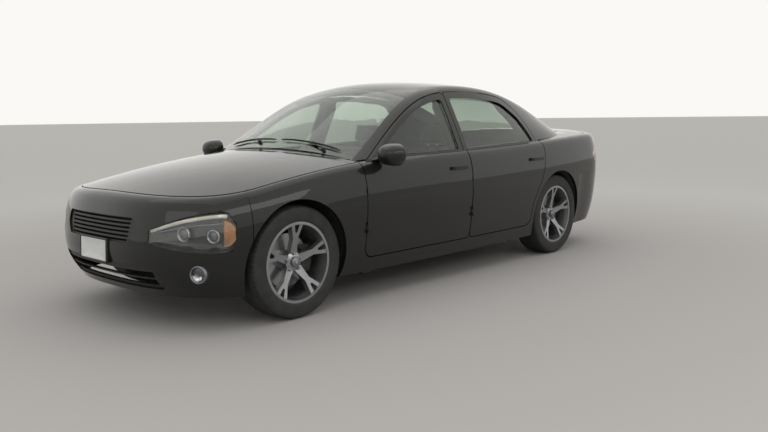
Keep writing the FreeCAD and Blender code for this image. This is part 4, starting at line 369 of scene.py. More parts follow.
# ---------- finishes ----------
def node(tree, kind, **settings):
    """Adds a shader node with its settings and input values."""
    made = tree.nodes.new(kind)
    for key, value in settings.items():
        if key.startswith("in_"):
            made.inputs[key[3:].replace("_", " ")].default_value = value
        else:
            setattr(made, key, value)
    return made


def finish(name, colour, roughness, metal=0.0, tone=0.12, tone_scale=6.0, grain=None, grain_scale=900.0,
           grain_depth=0.1, coat=0.0, coat_roughness=0.03, spread=0.06, spread_scale=40.0, pattern="noise",
           ior=1.5, sheen=0.0, stretch=None):
    """Procedural finish on Object coordinates: the colour drifts between two tones, roughness varies, and a fine
    grain raises the surface."""
    material = bpy.data.materials.new(name)
    material.use_nodes = True
    tree = material.node_tree
    shader = tree.nodes["Principled BSDF"]
    link = tree.links.new
    place = node(tree, "ShaderNodeTexCoord").outputs["Object"]
    if stretch:
        mapping = node(tree, "ShaderNodeMapping")
        mapping.inputs["Scale"].default_value = stretch
        link(place, mapping.inputs["Vector"])
        place = mapping.outputs["Vector"]
    drift = node(tree, "ShaderNodeTexNoise", in_Scale=tone_scale, in_Detail=4.0, in_Roughness=0.6)
    link(place, drift.inputs["Vector"])
    ramp = node(tree, "ShaderNodeValToRGB")
    for element, position, share in zip(ramp.color_ramp.elements, (0.35, 0.68), (1 - tone, 1 + tone)):
        element.position, element.color = position, (*[min(1, c * share) for c in colour], 1)
    link(drift.outputs["Fac"], ramp.inputs["Fac"])
    link(ramp.outputs["Color"], shader.inputs["Base Color"])
    rough = node(tree, "ShaderNodeTexNoise", in_Scale=spread_scale, in_Detail=3.0)
    link(place, rough.inputs["Vector"])
    span = node(tree, "ShaderNodeMapRange", in_To_Min=max(0.0, roughness - spread),
                in_To_Max=min(1.0, roughness + spread))
    link(rough.outputs["Fac"], span.inputs["Value"])
    link(span.outputs["Result"], shader.inputs["Roughness"])
    if grain:
        kinds = {"noise": "ShaderNodeTexNoise", "cells": "ShaderNodeTexVoronoi"}
        texture = node(tree, kinds[pattern], in_Scale=grain_scale)
        link(place, texture.inputs["Vector"])
        height = texture.outputs["Distance" if pattern == "cells" else "Fac"]
        bump = node(tree, "ShaderNodeBump", in_Strength=grain, in_Distance=grain_depth * 0.001)
        link(height, bump.inputs["Height"])
        link(bump.outputs["Normal"], shader.inputs["Normal"])
    for socket, value in (("Metallic", metal), ("IOR", ior), ("Coat Weight", coat), ("Coat Roughness", coat_roughness),
                          ("Sheen Weight", sheen)):
        shader.inputs[socket].default_value = value
    return material


GLASS_LIGHT_SHARE = 0.8


def clear(name, colour, ior):
    """Glass or clear plastic: full transmission with a faint drift of tint, and shadows that let the light through."""
    material = finish(name, colour, 0.0, tone=0.03, tone_scale=2.0, spread=0.004, ior=ior)
    tree = material.node_tree
    shader = tree.nodes["Principled BSDF"]
    shader.inputs["Transmission Weight"].default_value = 1.0
    path = node(tree, "ShaderNodeLightPath")
    part = node(tree, "ShaderNodeMath", operation="MULTIPLY")
    part.inputs[1].default_value = GLASS_LIGHT_SHARE
    tree.links.new(path.outputs["Is Shadow Ray"], part.inputs[0])
    through = node(tree, "ShaderNodeBsdfTransparent")
    through.inputs["Color"].default_value = (*colour, 1)
    mix = node(tree, "ShaderNodeMixShader")
    tree.links.new(part.outputs[0], mix.inputs["Fac"])
    tree.links.new(shader.outputs[0], mix.inputs[1])
    tree.links.new(through.outputs[0], mix.inputs[2])
    tree.links.new(mix.outputs[0], tree.nodes["Material Output"].inputs["Surface"])
    return material


PAINT = finish("graphite_paint", (0.0105, 0.0108, 0.0098), 0.38, tone=0.10, tone_scale=1800.0, grain=0.03,
               grain_scale=2600.0, grain_depth=0.02, coat=1.0, coat_roughness=0.02, spread=0.05, spread_scale=3.0,
               ior=1.2)
PAINT.node_tree.nodes["Principled BSDF"].inputs["Coat IOR"].default_value = 1.38
UNDERSIDE = finish("underbody_coat", (0.030, 0.030, 0.029), 0.82, tone=0.35, tone_scale=14.0, grain=0.5,
                   grain_scale=420.0, grain_depth=0.5)
BLACK = finish("grained_black_plastic", (0.014, 0.014, 0.014), 0.48, tone=0.2, tone_scale=20.0, grain=0.35,
               grain_scale=1500.0, grain_depth=0.12, pattern="cells")
GLOSS_BLACK = finish("gloss_black_plastic", (0.008, 0.008, 0.009), 0.10, tone=0.25, tone_scale=9.0, coat=0.4)
TRIM = finish("cabin_plastic", (0.050, 0.050, 0.048), 0.62, tone=0.15, tone_scale=12.0, grain=0.5, grain_scale=900.0,
              grain_depth=0.25, pattern="cells")
RUBBER = finish("tyre_rubber", (0.018, 0.018, 0.018), 0.74, tone=0.3, tone_scale=18.0, grain=0.35, grain_scale=1100.0,
                grain_depth=0.2)
SEAL = finish("seal_rubber", (0.010, 0.010, 0.010), 0.66, tone=0.2, tone_scale=60.0, grain=0.2, grain_scale=1600.0)
ALLOY = finish("wheel_lacquer", (0.30, 0.305, 0.31), 0.30, metal=0.85, tone=0.08, tone_scale=8.0, grain=0.05,
               grain_scale=1500.0, grain_depth=0.05, coat=0.6)
STEEL = finish("brushed_steel", (0.40, 0.40, 0.41), 0.34, metal=1.0, tone=0.15, tone_scale=25.0, grain=0.1,
               grain_scale=500.0, grain_depth=0.05, stretch=(1, 1, 12))
ALUMINIUM = finish("cast_aluminium", (0.36, 0.36, 0.37), 0.48, metal=0.9, tone=0.2, tone_scale=15.0, grain=0.3,
                   grain_scale=300.0, grain_depth=0.2)
IRON = finish("cast_iron", (0.050, 0.048, 0.046), 0.70, metal=0.5, tone=0.4, tone_scale=22.0, grain=0.5,
              grain_scale=260.0, grain_depth=0.4)
CHROME = finish("bright_trim", (0.62, 0.63, 0.64), 0.10, metal=1.0, tone=0.05, tone_scale=8.0)
SATIN = finish("satin_bezel", (0.20, 0.21, 0.22), 0.30, metal=0.8, tone=0.1, tone_scale=10.0)
CREAM = finish("light_guide", (0.72, 0.69, 0.58), 0.35, tone=0.10, tone_scale=30.0, coat=0.5)
AMBER = finish("amber_reflector", (0.42, 0.17, 0.035), 0.28, tone=0.25, tone_scale=30.0, grain=0.5, grain_scale=260.0,
               grain_depth=0.5, pattern="cells", coat=0.7)
LENS_GLASS = finish("projector_glass", (0.10, 0.115, 0.13), 0.05, tone=0.2, tone_scale=25.0, coat=1.0, ior=1.6)
PLATE = finish("blank_plate", (0.62, 0.63, 0.62), 0.42, tone=0.04, tone_scale=9.0, grain=0.15, grain_scale=700.0)
LEATHER = finish("seat_leather", (0.045, 0.044, 0.042), 0.52, tone=0.18, tone_scale=9.0, grain=0.6, grain_scale=420.0,
                 grain_depth=0.35, pattern="cells", sheen=0.1)
STITCH = finish("seat_piping", (0.085, 0.083, 0.078), 0.6, tone=0.2, tone_scale=200.0, grain=0.4, grain_scale=900.0)
CARPET = finish("floor_carpet", (0.022, 0.022, 0.022), 0.95, tone=0.35, tone_scale=140.0, grain=0.9,
                grain_scale=1400.0, grain_depth=0.8, sheen=0.3)
MIRROR = finish("mirror_glass", (0.72, 0.74, 0.75), 0.03, metal=1.0, tone=0.02, tone_scale=3.0, spread=0.01)
GLASS = clear("window_glass", (0.58, 0.66, 0.59), ior=1.5)
LENS = clear("lamp_lens", (0.93, 0.94, 0.94), ior=1.45)
RED = finish("tail_lens", (0.20, 0.008, 0.008), 0.12, tone=0.3, tone_scale=60.0, grain=0.3, grain_scale=150.0,
             grain_depth=0.3, pattern="cells", coat=1.0)

SLOT_FINISH = {"paint": PAINT, "underbody": UNDERSIDE, "black_plastic": BLACK, "trim_plastic": TRIM,
               "lamp_clear": LENS, "lamp_red": RED, "glass": GLASS, "aluminium": ALUMINIUM, "alloy": ALLOY,
               "steel": STEEL, "iron": IRON, "upholstery": LEATHER, "tyre": RUBBER}


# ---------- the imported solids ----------
slot_of = {part["node"]: part["material_slot"] for part in frame["record"]["subparts"]}
for label, solid in nodes.items():
    solid.data.materials.clear()
    solid.data.materials.append(SLOT_FINISH[slot_of[label]])
    solid.data.polygons.foreach_set("use_smooth", np.full(len(solid.data.polygons), True))
    solid.modifiers.new("weld", "WELD").merge_threshold = 2e-5
    solid.modifiers.new("creases", "EDGE_SPLIT").split_angle = math.radians(28)


# ---------- tyres ----------
TREAD_DEPTH, TREAD_FLOOR, AROUND, ACROSS = 0.0075, 0.322, 420, 93
SIDEWALL_RING, RING_START, RING_SPACING = 0.0007, 0.262, 0.012


def treaded_tyre(side, axle):
    """Tyre: the profile (x, r) turned round the axle. Between the shoulders the radius drops in four grooves,
    sum of exp(-((x - groove) / width)^8), and in sipes that cross it on a slant; the sidewalls carry fine rings."""
    edge = line_through([
        (0.0, 0.234), (0.16, 0.245), (0.33, 0.275), (0.52, 0.300), (0.68, 0.320), (0.82, 0.3292), (0.93, 0.3330),
        (1.0, 0.3350)])
    breadth = line_through([
        (0.0, 0.0885), (0.16, 0.1035), (0.33, 0.1075), (0.52, 0.1065), (0.68, 0.1010), (0.82, 0.0890),
        (0.93, 0.0600), (1.0, 0.0)])
    flank = np.linspace(-1, 1, ACROSS)
    t = (1 - np.abs(flank)) ** 0.9
    angle = circle(AROUND)[:, None]
    x, r = np.sign(flank) * breadth(t) + 0 * angle, edge(t) + 0 * angle
    groove = sum(np.exp(-((x - g) / w) ** 8)
                 for g, w in ((-0.058, 0.0042), (-0.021, 0.0052), (0.021, 0.0052), (0.058, 0.0042)))
    tread = np.clip((r - TREAD_FLOOR) / 0.008, 0, 1)
    slant = np.sin(angle * 70 + x * 95) ** 2
    sipe = np.clip((slant - 0.90) * 10, 0, 1) * (np.abs(x) > 0.024)
    block = np.clip((np.sin(angle * 70 + np.abs(x) * 60) - 0.55) * 3, 0, 1) * (np.abs(x) > 0.066)
    r = r - tread * np.minimum(TREAD_DEPTH, TREAD_DEPTH * groove + 0.0035 * sipe + 0.0045 * block)
    wall = (np.abs(x) > 0.094) * (r < 0.318) * (r > RING_START)
    wave = 0.5 - 0.5 * np.cos((r - RING_START) / RING_SPACING * 2 * math.pi)
    x = x - np.sign(x) * wall * SIDEWALL_RING * wave
    ring_x = np.concatenate([x, np.array([[-0.070, 0.0, 0.070]]) + 0 * angle], 1)
    ring_r = np.concatenate([r, np.array([[0.2300, 0.2290, 0.2300]]) + 0 * angle], 1)
    points = np.stack([side * WHEEL_X + ring_x, axle + ring_r * np.cos(angle), AXLE_HEIGHT + ring_r * np.sin(angle)],
                      -1)
    return turned_out((points, quads(AROUND, points.shape[1], close_rows=True, close_columns=True)))


# Wheel trim; distances count outwards from the wheel's middle plane
HUB_FACE, BOLT_CIRCLE, VALVE_CIRCLE, VALVE_ANGLE = 0.066, 0.052, 0.205, 2.2
CAP_PROFILE = ((-0.03, 0.0), (-0.03, 0.031), (0.008, 0.031), (0.0115, 0.0285), (0.0125, 0.024), (0.0118, 0.0225),
               (0.0130, 0.021), (0.0145, 0.010), (0.0150, 0.0))
BOLT_PROFILE = ((-0.03, 0.0), (-0.03, 0.0105), (-0.002, 0.0105), (0.0005, 0.0088), (0.0005, 0.0055), (-0.004, 0.0050),
                (-0.004, 0.0))
VALVE_PROFILE = ((0.058, 0.0), (0.058, 0.0045), (0.078, 0.0040), (0.080, 0.0032), (0.080, 0.0))
for name, side, axle in (("front_left", 1, FRONT_AXLE), ("front_right", -1, FRONT_AXLE), ("rear_left", 1, REAR_AXLE),
                         ("rear_right", -1, REAR_AXLE)):
    body = name + "_wheel"

    def trim(profile, radius, angle, count, base=HUB_FACE):
        """Profile turned about an axis that is parallel to the axle, radius from it at an angle."""
        spot = (side * WHEEL_X, axle + radius * math.cos(angle), AXLE_HEIGHT + radius * math.sin(angle))
        return turned([(base + forward, reach) for forward, reach in profile], spot, (side, 0, 0), count)

    tyre = piece(name + "_treaded_tyre", treaded_tyre(side, axle), RUBBER, body)
    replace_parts(tyre, name + "_tyre")
    piece(name + "_wheel_cap", trim(CAP_PROFILE, 0.0, 0.0, 48), SATIN, body)
    bolts = joined([trim(BOLT_PROFILE, BOLT_CIRCLE, angle + math.pi / 2, 6) for angle in circle(5)])
    piece(name + "_wheel_bolts", bolts, STEEL, body, smooth=False)
    piece(name + "_tyre_valve", trim(VALVE_PROFILE, VALVE_CIRCLE, VALVE_ANGLE, 14, base=0.0), SEAL, body)


# ---------- lamps and front trim ------------------
LAMP_START, LAMP_END = 0.455, 0.990
lamp_top = line_through([
    (LAMP_START, 0.398), (0.560, 0.424), (0.680, 0.448), (0.800, 0.463), (0.905, 0.468), (0.960, 0.448),
    (LAMP_END, 0.405)])
lamp_foot = line_through([
    (LAMP_START, 0.352), (0.620, 0.330), (0.820, 0.316), (0.925, 0.316), (0.962, 0.330), (LAMP_END, 0.368)])


def lamp_skin(s, t, depth=0.0, inset=0.0):
    """Headlamp skin at s from the grille to the corner and t from foot to top, moved straight in by a depth; an inset
    shrinks its outline."""
    s, t = np.broadcast_arrays(np.asarray(s, float), np.asarray(t, float))
    u = LAMP_START + (LAMP_END - LAMP_START) * (inset + (1 - 2 * inset) * s)
    lift = inset + (1 - 2 * inset) * t
    z = lamp_foot(u) * (1 - lift) + lamp_top(u) * lift
    girth, step = lamp_spot(u * HALF, z * HEIGHT)
    return side_point(girth, step) - side_outward(girth, step) * np.asarray(depth)[..., None]


def lamp_grid(rows, columns, depth, inset):
    """Grid over the whole headlamp; depth may be a function of (s, t)."""
    s, t = even(rows, columns)
    return lamp_skin(s, t, depth(s, t) if callable(depth) else depth, inset)


def bowl_depth(extra):
    """Depth of the lamp's bowl: full in the middle, with steep walls 1 - |2s-1|^10 and 1 - |2t-1|^8."""
    return lambda s, t: extra + 0.006 + 0.044 * (1 - np.abs(2 * s - 1) ** 10) * (1 - np.abs(2 * t - 1) ** 8)


LENS_INSET, BOWL_INSET = 0.006, 0.008
lens_skins = [lamp_grid(72, 26, depth, LENS_INSET) for depth in (0.0005, 0.0032)]
lens = piece("headlamp_lenses", both(sheet_shell(*lens_skins)), LENS)
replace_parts(lens, "headlamps")
bowl_skins = [lamp_grid(64, 30, bowl_depth(extra), BOWL_INSET) for extra in (0.0, 0.003)]
piece("headlamp_bowls", both(sheet_shell(*bowl_skins)), GLOSS_BLACK)

strip_s = np.linspace(0.03, 0.90, 60)
for name, lift, depth, profile, material, slot in (
        ("headlamp_light_strips", 0.885, 0.011, round_profile(0.0070, 12, 1.5), CREAM, "lamp_clear"),
        ("headlamp_brows", 0.70, 0.020, round_profile(0.0035, 10, 1.3), SATIN, "black_plastic")):
    piece(name, both(swept(lamp_skin(strip_s, lift, depth), profile, (0, 0, 1))), material)

s, t = even(18, 14)
s, t = 0.865 + (0.985 - 0.865) * s, 0.14 + (0.80 - 0.14) * t
corner = sheet_shell(lamp_skin(s, t, 0.006), lamp_skin(s, t, 0.010))
piece("headlamp_amber_corners", both(corner), AMBER)


def aimed_spot(u, z, ahead):
    """Place on the nose and its outward direction, turned ahead by a share."""
    girth, step = lamp_spot(np.array([u * HALF]), np.array([z * HEIGHT]))
    return side_point(girth, step)[0], unit(side_outward(girth, step)[0] - [0, ahead, 0])


def quarter(count):
    """Sine and cosine over a quarter turn."""
    turn = np.linspace(0, 1, count) * math.pi / 2
    return np.sin(turn), np.cos(turn)


projectors, glasses, rings = [], [], []
for u, z, radius in ((0.675, 0.387, 0.033), (0.850, 0.377, 0.030)):
    spot, way = aimed_spot(u, z, 1.2)
    middle = spot - way * 0.017
    projectors.append(turned([(-0.030, 0.0), (-0.030, radius * 0.80), (-0.006, radius * 1.02), (0.0, radius * 1.12),
                              (0.002, radius * 1.06), (-0.004, radius * 0.92), (-0.008, radius * 0.86), (-0.008, 0.0)],
                             middle, way, 56))
    rise, fall = quarter(12)
    dome = np.stack([-0.0075 + 0.012 * fall, radius * 0.86 * rise], -1)
    glasses.append(turned(np.concatenate([dome, [(-0.010, radius * 0.86), (-0.010, 0.0)]]), middle, way, 56))
    side_way = unit(np.cross(way, [0, 0, 1.0]))
    up_way = np.cross(side_way, way)
    turn = circle(96)[:, None]
    loop = middle + way * 0.001 + radius * 1.16 * (np.cos(turn) * side_way + np.sin(turn) * up_way)
    rings.append(swept(loop, round_profile(0.0028, 10), way, closed=True))
piece("headlamp_projectors", both(joined(projectors)), SATIN)
piece("headlamp_projector_glass", both(joined(glasses)), LENS_GLASS)
piece("headlamp_rings", both(joined(rings)), CHROME)

edge_s = np.concatenate([np.linspace(0, 1, 80), np.ones(26), np.linspace(1, 0, 80), np.zeros(20)])
edge_t = np.concatenate([np.zeros(80), np.linspace(0, 1, 26), np.ones(80), np.linspace(1, 0, 20)])
moved = np.concatenate([[True], np.hypot(np.diff(edge_s), np.diff(edge_t)) > 1e-6])
edge_loop = lamp_skin(edge_s[moved], edge_t[moved], 0.0012, 0.001)
piece("headlamp_seals", both(swept(edge_loop, round_profile(0.0022, 8), (0, -1, 0), closed=True)), SEAL)

# Fog lamps: a bezel, a bright bowl and a clear glass
FOG, FOG_STAND = 0.043, 0.009
fog_spot, fog_way = aimed_spot(0.765, 0.235, 0.8)
rise, fall = quarter(10)
fog_dome = [*zip(0.0030 + 0.005 * fall, 0.89 * rise), (0.0022, 0.89), (0.0022, 0.0)]
for name, profile, material, slot in (
        ("fog_lamp_bezels", [(-0.030, 0.86), (0.004, 0.90), (0.010, 0.98), (0.0105, 1.06), (0.007, 1.16),
                             (-0.030, 1.24)], SATIN, "black_plastic"),
        ("fog_lamp_reflectors", [(-0.030, 0.0), (-0.030, 0.88), (0.001, 0.88), (-0.001, 0.70), (-0.004, 0.40),
                                 (-0.005, 0.0)], CHROME, "aluminium"),
        ("fog_lamp_glass", fog_dome, LENS, "lamp_clear")):
    sized = np.array(profile) * (1, FOG)
    piece(name, both(turned(sized, fog_spot + FOG_STAND * fog_way, fog_way, 72)), material)


def rounded_rectangle(half_a, half_b, corner, count=8):
    """Points round a rectangle with rounded corners."""
    turn = np.concatenate([np.linspace(q, q + 1, count) for q in range(4)]) * math.pi / 2
    sign_a, sign_b = np.repeat([1, -1, -1, 1], count), np.repeat([1, 1, -1, -1], count)
    return np.stack([sign_a * (half_a - corner) + corner * np.cos(turn),
                     sign_b * (half_b - corner) + corner * np.sin(turn)], -1)


def plate_layers(layers, place, way):
    """Stack of rounded rectangles: each layer (forward, half width, half height, corner); ends gathered to a point."""
    way = unit(way)
    side_way = unit(np.cross(way, [0, 0, 1.0] if abs(way[2]) < 0.9 else [0, -1.0, 0]))
    up_way = np.cross(side_way, way)
    rings = []
    for forward, half_a, half_b, corner in layers:
        p = rounded_rectangle(half_a, half_b, corner)
        rings.append(np.asarray(place) + way * forward + p[:, :1] * side_way + p[:, 1:] * up_way)
    return gathered(np.stack(rings))


# Plates and their holders: layers of (forward, wider than the plate, higher than the plate, corner)
HOLDER_LAYERS = ((-0.030, 0.007, 0.008, 0.010), (0.001, 0.012, 0.012, 0.010), (0.006, 0.010, 0.010, 0.010),
                 (0.006, 0.002, 0.002, 0.006), (0.002, 0.001, 0.001, 0.006))
PLATE_LAYERS = ((0.001, 0.0, 0.0, 0.006), (0.0032, 0.0, 0.0, 0.006), (0.0040, -0.0015, -0.0015, 0.006),
                (0.0040, -0.004, -0.004, 0.005), (0.0035, -0.005, -0.005, 0.005))
for end, place, way, half_width, half_height in (("front", (0.0, NOSE - 0.004, 0.435), (0, -1, 0.05), 0.148, 0.060),
                                                 ("rear", (0.0, TAIL + 0.002, 0.565), (0, 1, 0), 0.151, 0.072)):
    for kind, layers, material, slot in (("_plate_holder", HOLDER_LAYERS, BLACK, "black_plastic"),
                                         ("_blank_plate", PLATE_LAYERS, PLATE, "aluminium")):
        sized = [(forward, half_width + wider, half_height + higher, corner)
                 for forward, wider, higher, corner in layers]
        piece(end + kind, plate_layers(sized, place, way), material)


# ---------- rear trim ----------
def tail_skin(u, z, depth):
    """Tail skin at a distance across the lamps' sight line, moved straight in by a depth."""
    girth, step = lamp_spot(np.asarray(u, float) * HALF, np.asarray(z, float) * HEIGHT, front=False)
    return side_point(girth, step) - side_outward(girth, step) * depth


tail_u = np.linspace(0.50, 0.965, 60)
tail_lines = joined([swept(tail_skin(tail_u, z, -0.0004), round_profile(0.0016, 8), (0, 0, 1))
                     for z in (0.520, 0.588)])
piece("tail_lamp_ribs", both(tail_lines), SEAL)


def tail_patch(u0, u1, z0, z1, depth):
    """Closed patch on the tail skin between two places, its ends pinched in height by |2s-1|^12."""
    s, t = even(30, 12)
    pinch = 1 - 0.35 * np.abs(2 * s - 1) ** 12
    z = (z0 + z1) / 2 + (z1 - z0) * (t - 0.5) * pinch
    u = u0 + (u1 - u0) * s
    return sheet_shell(tail_skin(u, z, depth), tail_skin(u, z, depth + 0.004))


piece("tail_lamp_reversing_glass", both(tail_patch(0.52, 0.70, 0.525, 0.583, -0.0012)), PLATE)
piece("tail_lamp_indicators", both(tail_patch(0.74, 0.93, 0.530, 0.558, -0.0010)), AMBER)


# ---------- windows ----------
def screen_spot(x, y, lift):
    """Point above the windscreen at a place across and along: the house's skin at the girth where its x matches."""
    x, y = np.broadcast_arrays(np.asarray(x, float), np.asarray(y, float))
    girth = halved(np.full(x.shape, 1.3), np.full(x.shape, 3.0), lambda g: cabin_point(y, g)[..., 0] > np.abs(x))
    dy = cabin_point(y + 1e-3, girth) - cabin_point(y - 1e-3, girth)
    dg = cabin_point(y, girth + 1e-3) - cabin_point(y, girth - 1e-3)
    out = unit(np.cross(dg, dy))
    p = cabin_point(y, girth) + out * np.sign(out[..., 2:3]) * lift
    p[..., 0] *= np.where(x < 0, -1, 1)
    return p


def blade_path(x0, y0, x1, y1, lift):
    """Line over the windscreen between two places."""
    s = np.linspace(0, 1, 40)
    return screen_spot(x0 + (x1 - x0) * s, y0 + (y1 - y0) * s, lift)


# Wipers: blade ends, and the arm's post
BLADE_LIFT, SPINE_LIFT, SPINE_SHORT, ARM_BOW = 0.0075, 0.0135, 0.03, 0.018
POST_PROFILE = ((-0.030, 0.0), (-0.030, 0.012), (0.004, 0.013), (0.008, 0.010), (0.009, 0.0))
rubbers, arms = [], []
for x0, y0, x1, y1, post_x, post_y in ((0.62, -0.968, 0.08, -1.002, 0.50, -1.006),
                                       (0.02, -1.005, -0.50, -0.985, -0.14, -1.022)):
    rubbers.append(swept(blade_path(x0, y0, x1, y1, BLADE_LIFT), round_profile(0.0030, 8, 1.6), (0, 0.5, 1)))
    spine = blade_path(x0 - SPINE_SHORT, y0, x1 + SPINE_SHORT, y1, SPINE_LIFT)
    arms.append(swept(spine, round_profile(0.0042, 8, 0.6), (0, 0.5, 1)))
    middle = (spine[0] + spine[-1]) / 2
    foot = screen_spot([post_x], [post_y], 0.012)[0]
    s = np.linspace(0, 1, 24)[:, None]
    arm = foot * (1 - s) + (middle + [0, 0, 0.004]) * s + np.array([0, 0, ARM_BOW]) * s * (1 - s)
    arms.append(swept(arm, round_profile(0.0060, 10, 0.55), (0, 0.5, 1)))
    arms.append(turned(POST_PROFILE, foot, (0, -0.35, 1), 24))
piece("wiper_rubbers", joined(rubbers), SEAL)
piece("wiper_arms", joined(arms), BLACK)

# Belt strips along the doors' top edges, lifted out of the skin and dropped below the shoulder
BELT_LIFT, BELT_BELOW = 0.001, 0.0035
for name, y0, y1 in (("front", -0.955, 0.058), ("rear", 0.084, 0.905)):
    y = np.linspace(y0, y1, 90)
    path = side_point(*flank_spot(y, shoulder(y) - BELT_BELOW)) + [BELT_LIFT, 0, 0]
    strip = swept(path, round_profile(0.0048, 10, 1.5), (0, 0, 1))
    for side, part in (("left", strip), ("right", mirrored(strip))):
        piece(name + "_door_belt_" + side, part, BLACK, name + "_" + side + "_door")

# Mirrors: the housing is a superellipse |x|^2.6 + |z|^2.6 = 1 swelled along y by (1 - (1 - u)^2.4)^(1 / 2.4), with a
# lip round a recessed rear face, on a tapered foot; the glass lies in the recess
MIRROR_X, MIRROR_FACE, MIRROR_NOSE, MIRROR_Z, MIRROR_HALF = 0.9653, -0.8239, -0.9322, 0.9331, (0.0960, 0.0720)
OUTLINE_POWER, SWELL_POWER, LOWER_PULL, FOOT_Y = 2.6, 2.4, 0.10, -0.8660


def mirror_ring(y, share):
    """Ring of the mirror's outline at y, scaled by share, its lower outer part pulled in."""
    turn = circle(72)
    x, z = (np.sign(w) * np.abs(w) ** (2 / OUTLINE_POWER) for w in (np.cos(turn), np.sin(turn)))
    x = x * (1 - LOWER_PULL * np.clip(-z, 0, 1) * (x > 0))
    return np.stack([MIRROR_X + MIRROR_HALF[0] * share * x, y + 0 * x, MIRROR_Z + MIRROR_HALF[1] * share * z], -1)


swell = np.linspace(0.02, 1.0, 26) ** 1.6
rings = [(MIRROR_NOSE + (MIRROR_FACE - MIRROR_NOSE) * u, (1 - (1 - u) ** SWELL_POWER) ** (1 / SWELL_POWER))
         for u in swell]
rings += [(MIRROR_FACE + back, share) for back, share in
          ((0.0020, 0.992), (0.0028, 0.975), (0.0024, 0.958), (0.0006, 0.948), (-0.0045, 0.940))]
housing = gathered(np.stack([mirror_ring(y, share) for y, share in rings]))
glass = gathered(np.stack([mirror_ring(MIRROR_FACE + back, share) for back, share in
                           ((-0.0046, 0.925), (-0.0022, 0.925), (-0.0016, 0.918), (-0.0014, 0.900))]))
turn = circle(40)
foot = gathered(np.stack([np.stack([x + 0 * turn, FOOT_Y + half_y * np.cos(turn), z + half_z * np.sin(turn)], -1)
                          for x, z, half_y, half_z in (
        (0.806, 0.8950, 0.040, 0.0115), (0.850, 0.8990, 0.040, 0.0120), (0.866, 0.9010, 0.036, 0.0125),
        (0.884, 0.9060, 0.031, 0.0140), (0.902, 0.9130, 0.028, 0.0160), (0.920, 0.9200, 0.026, 0.0180))]))
for side, cover, face in (("left", joined([housing, foot]), glass),
                          ("right", mirrored(joined([housing, foot])), mirrored(glass))):
    body = "front_" + side + "_door"
    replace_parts(piece("mirror_housing_" + side, cover, PAINT, body), "mirror_" + side)
    piece("mirror_glass_" + side, face, MIRROR, body)


# ---------- seats and cabin ----------
def pad(centre, half, axes, crown, bolster=0.0, channels=(), count=56, taper=0.0):
    """Padded form over a square (x, y): top and underside at c (0.14 + 0.86 ((1 - |x|^7)(1 - |y|^7))^0.42), the top
    crowned by 1 - (x^2 + y^2) / 2, raised at its sides by exp(-((|x| - 0.80) / 0.15)^2) and pressed in at its sewn
    channels by exp(-(d / width)^2); the outline's corners are rounded by x sqrt(1 - 0.22 y^6). Returns the form and
    its seam."""
    s = np.sin(np.linspace(-1, 1, count) * math.pi / 2)
    x, y = np.meshgrid(s, s, indexing="ij")
    full = 0.14 + 0.86 * np.clip((1 - np.abs(x) ** 7) * (1 - np.abs(y) ** 7), 0, 1) ** 0.42
    top = full * (1 + crown * (1 - 0.5 * (x * x + y * y)))
    top = top + bolster * np.exp(-((np.abs(x) - 0.80) / 0.15) ** 2) * np.clip((1 - np.abs(y) ** 5), 0, 1)
    for way, place, wide, depth in channels:
        d = (x if way == "x" else y) - place
        edge = 1 if way == "x" else np.clip((0.62 - np.abs(x)) * 12, 0, 1)
        top = top - depth * np.exp(-(d / wide) ** 2) * edge * np.clip((1 - np.abs(y) ** 6), 0, 1)
    sides = x * np.sqrt(1 - 0.22 * y ** 6) * (1 - taper * (y + 1) / 2)
    ends = y * np.sqrt(1 - 0.22 * x ** 6)
    axes = np.array(axes, float)
    centre = np.asarray(centre, float)

    def placed(height):
        return sum(((way * reach)[..., None] * axis for way, reach, axis in zip((sides, ends, height), half, axes)),
                   centre)

    upper, lower, rim = placed(top), placed(-full), placed(0 * x)
    loop = np.concatenate([rim[:-1, 0], rim[-1, :-1], rim[:0:-1, -1], rim[0, :0:-1]])
    seam = swept(loop, round_profile(0.0042, 8), axes[2], closed=True)
    return sheet_shell(upper, lower), seam


def padded_piece(name, forms):
    """Adds padded forms as one piece, and the piping of their seams as another."""
    thing = piece(name, joined([form for form, _ in forms]), LEATHER)
    piece(name + "_piping", joined([seam for _, seam in forms]), STITCH)
    return thing


def leaning(degrees):
    """Axes of a seat back that leans back from upright."""
    lean = math.radians(degrees)
    return (1, 0, 0), (0, math.sin(lean), math.cos(lean)), (0, -math.cos(lean), math.sin(lean))


def channels_at(way, places, wide, depth):
    """Sewn channels at several places."""
    return [(way, place, wide, depth) for place in places]


UPRIGHT, REAR_UPRIGHT, FLAT, LEVEL = leaning(19.2), leaning(18.7), ((1, 0, 0), (0, 1, -0.05), (0, 0.05, 1)), np.eye(3)
SEATS = (SEAT_X, -SEAT_X)
cushion_seams = channels_at("x", (-0.52, 0.52), 0.045, 0.30) + channels_at("y", (0.45, 0.0, -0.45), 0.03, 0.20)
back_seams = channels_at("x", (-0.50, 0.50), 0.045, 0.30) + channels_at("y", (0.55, 0.15, -0.25, -0.6), 0.03, 0.20)
bench_seams = channels_at("x", (-0.36, 0.36), 0.02, 0.35) + channels_at("x", (-0.86, 0.86), 0.02, 0.2)
cushions = padded_piece("front_seat_cushions", [
    pad((x, -0.205, 0.372), (0.240, 0.243, 0.046), FLAT, 0.15, 0.45, cushion_seams) for x in SEATS])
padded_piece("front_seat_backs", [
    pad((x, 0.176, 0.665), (0.238, 0.262, 0.055), UPRIGHT, 0.10, 0.40, back_seams, taper=0.12) for x in SEATS])
padded_piece("front_seat_headrests", [
    pad((x, 0.306, 1.022), (0.122, 0.073, 0.044), UPRIGHT, 0.25) for x in SEATS])
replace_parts(cushions, "front_seats")
bench = padded_piece("rear_seat_bench", [
    pad((0, 0.842, 0.392), (0.592, 0.224, 0.056), FLAT, 0.22, 0.12, bench_seams, 72)])
